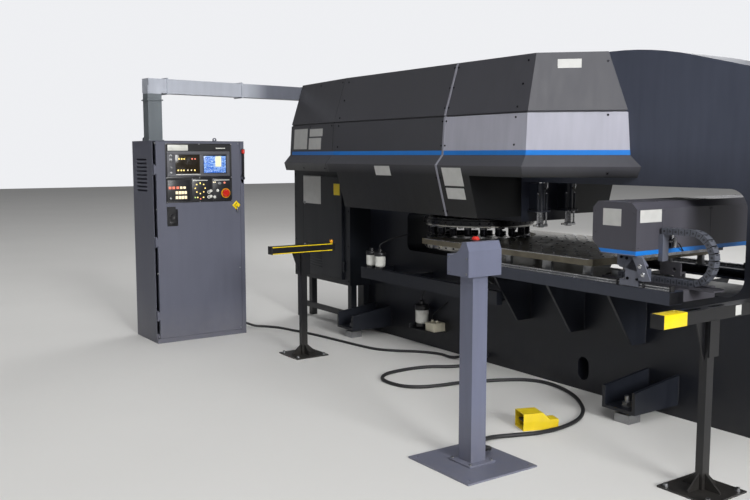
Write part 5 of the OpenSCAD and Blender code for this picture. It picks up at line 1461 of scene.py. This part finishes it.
# %% Sleeve, caps, edges, lamp and bolts of the guards
slab("yellow_sleeve", yellow_paint, "machine", (2981.6, -1567, 853.4),
     (3054.4, -1395, 918.6), 1.2)
slab("guard_plate", white_plate, "machine", (3053, -1010, 862), (3054.4, -962, 912), 0.3, 1)
ends = Work()
ends.bar((2980, -1572, 852), (3056, -1566.5, 920))
ends.bar((-705, -1628, 853), (-631, -1622, 919))
ends.done("guard_end_caps", rubber, "machine", 2.0)
tape = Work()
for z in (857, 909):
    tape.bar((-633, -1622, z), (-632.2, -1060, z + 6))
    tape.bar((-703.8, -1622, z), (-703, -1060, z + 6))
tape.done("guard_edge_tape", yellow_paint, "machine", 0)
guard_lamp = Work()
guard_lamp.turned([(0, 14), (22, 14), (30, 9), (33, 3)], (-668, -1050, 917), (0, 0, 1), 24)
guard_lamp.done("guard_lamp", amber_plastic, "machine", 0.6)
fasten("guard_bolts", "machine",
       [(x + a * 120, y + b * 120, 10, (0, 0, 1)) for x, y in ((3026, -1190), (-660, -1330))
        for a, b in corners], 24, 14)

# %% Ribs of the pedal, and strain reliefs
tread = Work()
turn = Matrix.Rotation(math.radians(70), 4, "Z")
for k in range(7):
    x = -52 + 17 * k
    z = 55.2 - (x + 62) * 18 / 132
    made = tread.bar((x, -44, z - 1), (x + 6, 44, z + 2.2))
    for vertex in made:
        vertex.co = turn @ vertex.co + Vector((1.827, -1.168, 0))
tread.done("pedal_treads", rubber, "pedal_body", 0.8)
for name, at, along, radius in (("a", (420, -290.2, 60), (0, -1, 0), 12.6),
                                ("b", (290, -290.2, 60), (0, -1, 0), 11.1),
                                ("c", (-1900, -1298.8, 60), (0, 1, 0), 11.1),
                                ("d", (2085, -1792.8, 60), (0, 1, 0), 12.6)):
    relief = Work()
    profile = [(0, radius + 5)]
    for k in range(4):
        rib, groove = radius + 5 - k, radius + 2.6 - 0.5 * k
        profile += [(2 + 7 * k, rib), (6 + 7 * k, rib), (6 + 7 * k, groove), (9 + 7 * k, groove)]
    relief.turned(profile + [(34, radius + 0.6)], at, along, 24)
    relief.done("strain_relief_" + name, rubber, "machine", 0.3, 1)

# %% [markdown]
# ## Back of the machine
# The rear cover is the front one turned over, so its seams and screws are the front's with Y reversed.
# The hydraulic box breathes through pressed louvres, and so does the sheet that is screwed on the
# cabinet's back.

# %% Seams, screws, louvres and sheets at the back
rear_seams = Work()
cover_strip(rear_seams, "left", -4.0, 5.0, 0.8)
cover_strip(rear_seams, "main", 421.0, 6.0, 0.8)
for vertex in rear_seams.mesh.verts:
    vertex.co.y = -vertex.co.y
rear_seams.done("rear_cover_seams", rubber, "machine", 0)
fasten("rear_cover_screws", "machine",
       [(x, -y, z, (facing[0], -facing[1], facing[2])) for x, y, z, facing in cover_spots],
       11, 4.5, black_oxide, black_oxide)
louvres = Work()
for column in (-2140, -1760):
    for k in range(12):
        low = 980 + 32 * k
        louvres.plate([(449.5, low), (456, low), (449.5, low + 18)], 0, column, column + 300)
louvres.done("box_louvres", box_paint, "machine", 1.0)
sheet = Work()
sheet.bar((-2253.5, -2160, 60), (-2250.5, -1346, 1752))
for k in range(10):
    sheet.plate([(-2253, 1420 + 26 * k), (-2259, 1420 + 26 * k), (-2253, 1434 + 26 * k)], 1, -1900, -1600)
sheet.done("cabinet_back_sheet", cabinet_paint, "machine", 1.0)
fasten("sheet_screws", "machine",
       [(-2253.6, y, z, (-1, 0, 0)) for y in (-2146, -1753, -1360) for z in (74, 620, 1180, 1738)],
       10, 3)
fasten("box_back_screws", "machine",
       [(x, 450.2, z, (0, 1, 0)) for x in (-2240, -1810, -1400) for z in (500, 900, 1460)],
       11, 4, black_oxide)
print("back of the machine:", len(cover_spots), "cover screws")

# %% [markdown]
# ## Floor, light and the end
# The floor is a plain pale sheet, and the light is that of a studio. The key lamp stands at the carriage's
# end with a grid that narrows its spread, two smaller soft boxes stand in front and behind, and a wide
# one hangs from the ceiling. The background stays white because the world answers camera rays, also
# those through glass, with white, and everything else with a dim sky.

# %% Floor, and a function for lamps
def studio_floor():
    """A wide pale floor that takes the machine's shadow."""
    mesh = bpy.data.meshes.new("floor")
    reach = 40.0
    mesh.from_pydata([(-reach, -reach, 0), (reach, -reach, 0), (reach, reach, 0), (-reach, reach, 0)], [],
                     [(0, 1, 2, 3)])
    made = bpy.data.objects.new("floor", mesh)
    bpy.context.scene.collection.objects.link(made)
    finish, tree, shader = new_finish("pale studio floor", Roughness=0.75)
    at = put(tree, "ShaderNodeTexCoord", out="Object")
    cloud = put(tree, "ShaderNodeTexNoise", {"Vector": at, "Scale": 0.6, "Detail": 3.0}, "Fac")
    tone = put(tree, "ShaderNodeMix", {"Factor": cloud, "A": paint_chip("E0DFDC"),
                                       "B": paint_chip("E8E7E4")}, "Result", data_type="RGBA")
    tree.links.new(tone, shader.inputs["Base Color"])
    mesh.materials.append(finish)


def soft_lamp(name, place, aim, size, power, spread=180):
    """A square soft box at a place, turned towards its aim; a grid narrows its spread, in degrees."""
    data = bpy.data.lights.new(name, "AREA")
    data.shape = "SQUARE"
    data.size = size
    data.energy = power
    data.spread = math.radians(spread)
    made = bpy.data.objects.new(name, data)
    bpy.context.scene.collection.objects.link(made)
    made.location = place
    made.rotation_euler = (Vector(aim) - Vector(place)).to_track_quat("-Z", "Y").to_euler()


studio_floor()
print("floor made")

# %% Lamps and world
soft_lamp("key", (19.0, -3.0, 7.0), (0.8, -0.4, 1.3), 6.5, 365, 60)
soft_lamp("ceiling", (0.0, 6.0, 24.0), (0.0, 6.0, 0.0), 30.0, 2200)
soft_lamp("front", (8.2, -7.0, 9.3), (0.6, -0.5, 1.4), 3.5, 340)
soft_lamp("back", (-5.0, 7.0, 6.5), (0.0, 0.0, 1.0), 6.0, 260)

sky_light, sky_seen = 0.2, 0.95
world = bpy.data.worlds.new("studio")
bpy.context.scene.world = world
world.use_nodes = True
sky = world.node_tree
paths = put(sky, "ShaderNodeLightPath")
seen = put(sky, "ShaderNodeMath", {0: paths.outputs["Is Camera Ray"],
                                   1: paths.outputs["Is Transmission Ray"]}, "Value",
           operation="MAXIMUM")
level = put(sky, "ShaderNodeMix", {"Factor": seen, "A": sky_light, "B": sky_seen})
backdrop = sky.nodes["Background"]
backdrop.inputs["Color"].default_value = paint_chip("F4F5F8")
sky.links.new(level.outputs["Result"], backdrop.inputs["Strength"])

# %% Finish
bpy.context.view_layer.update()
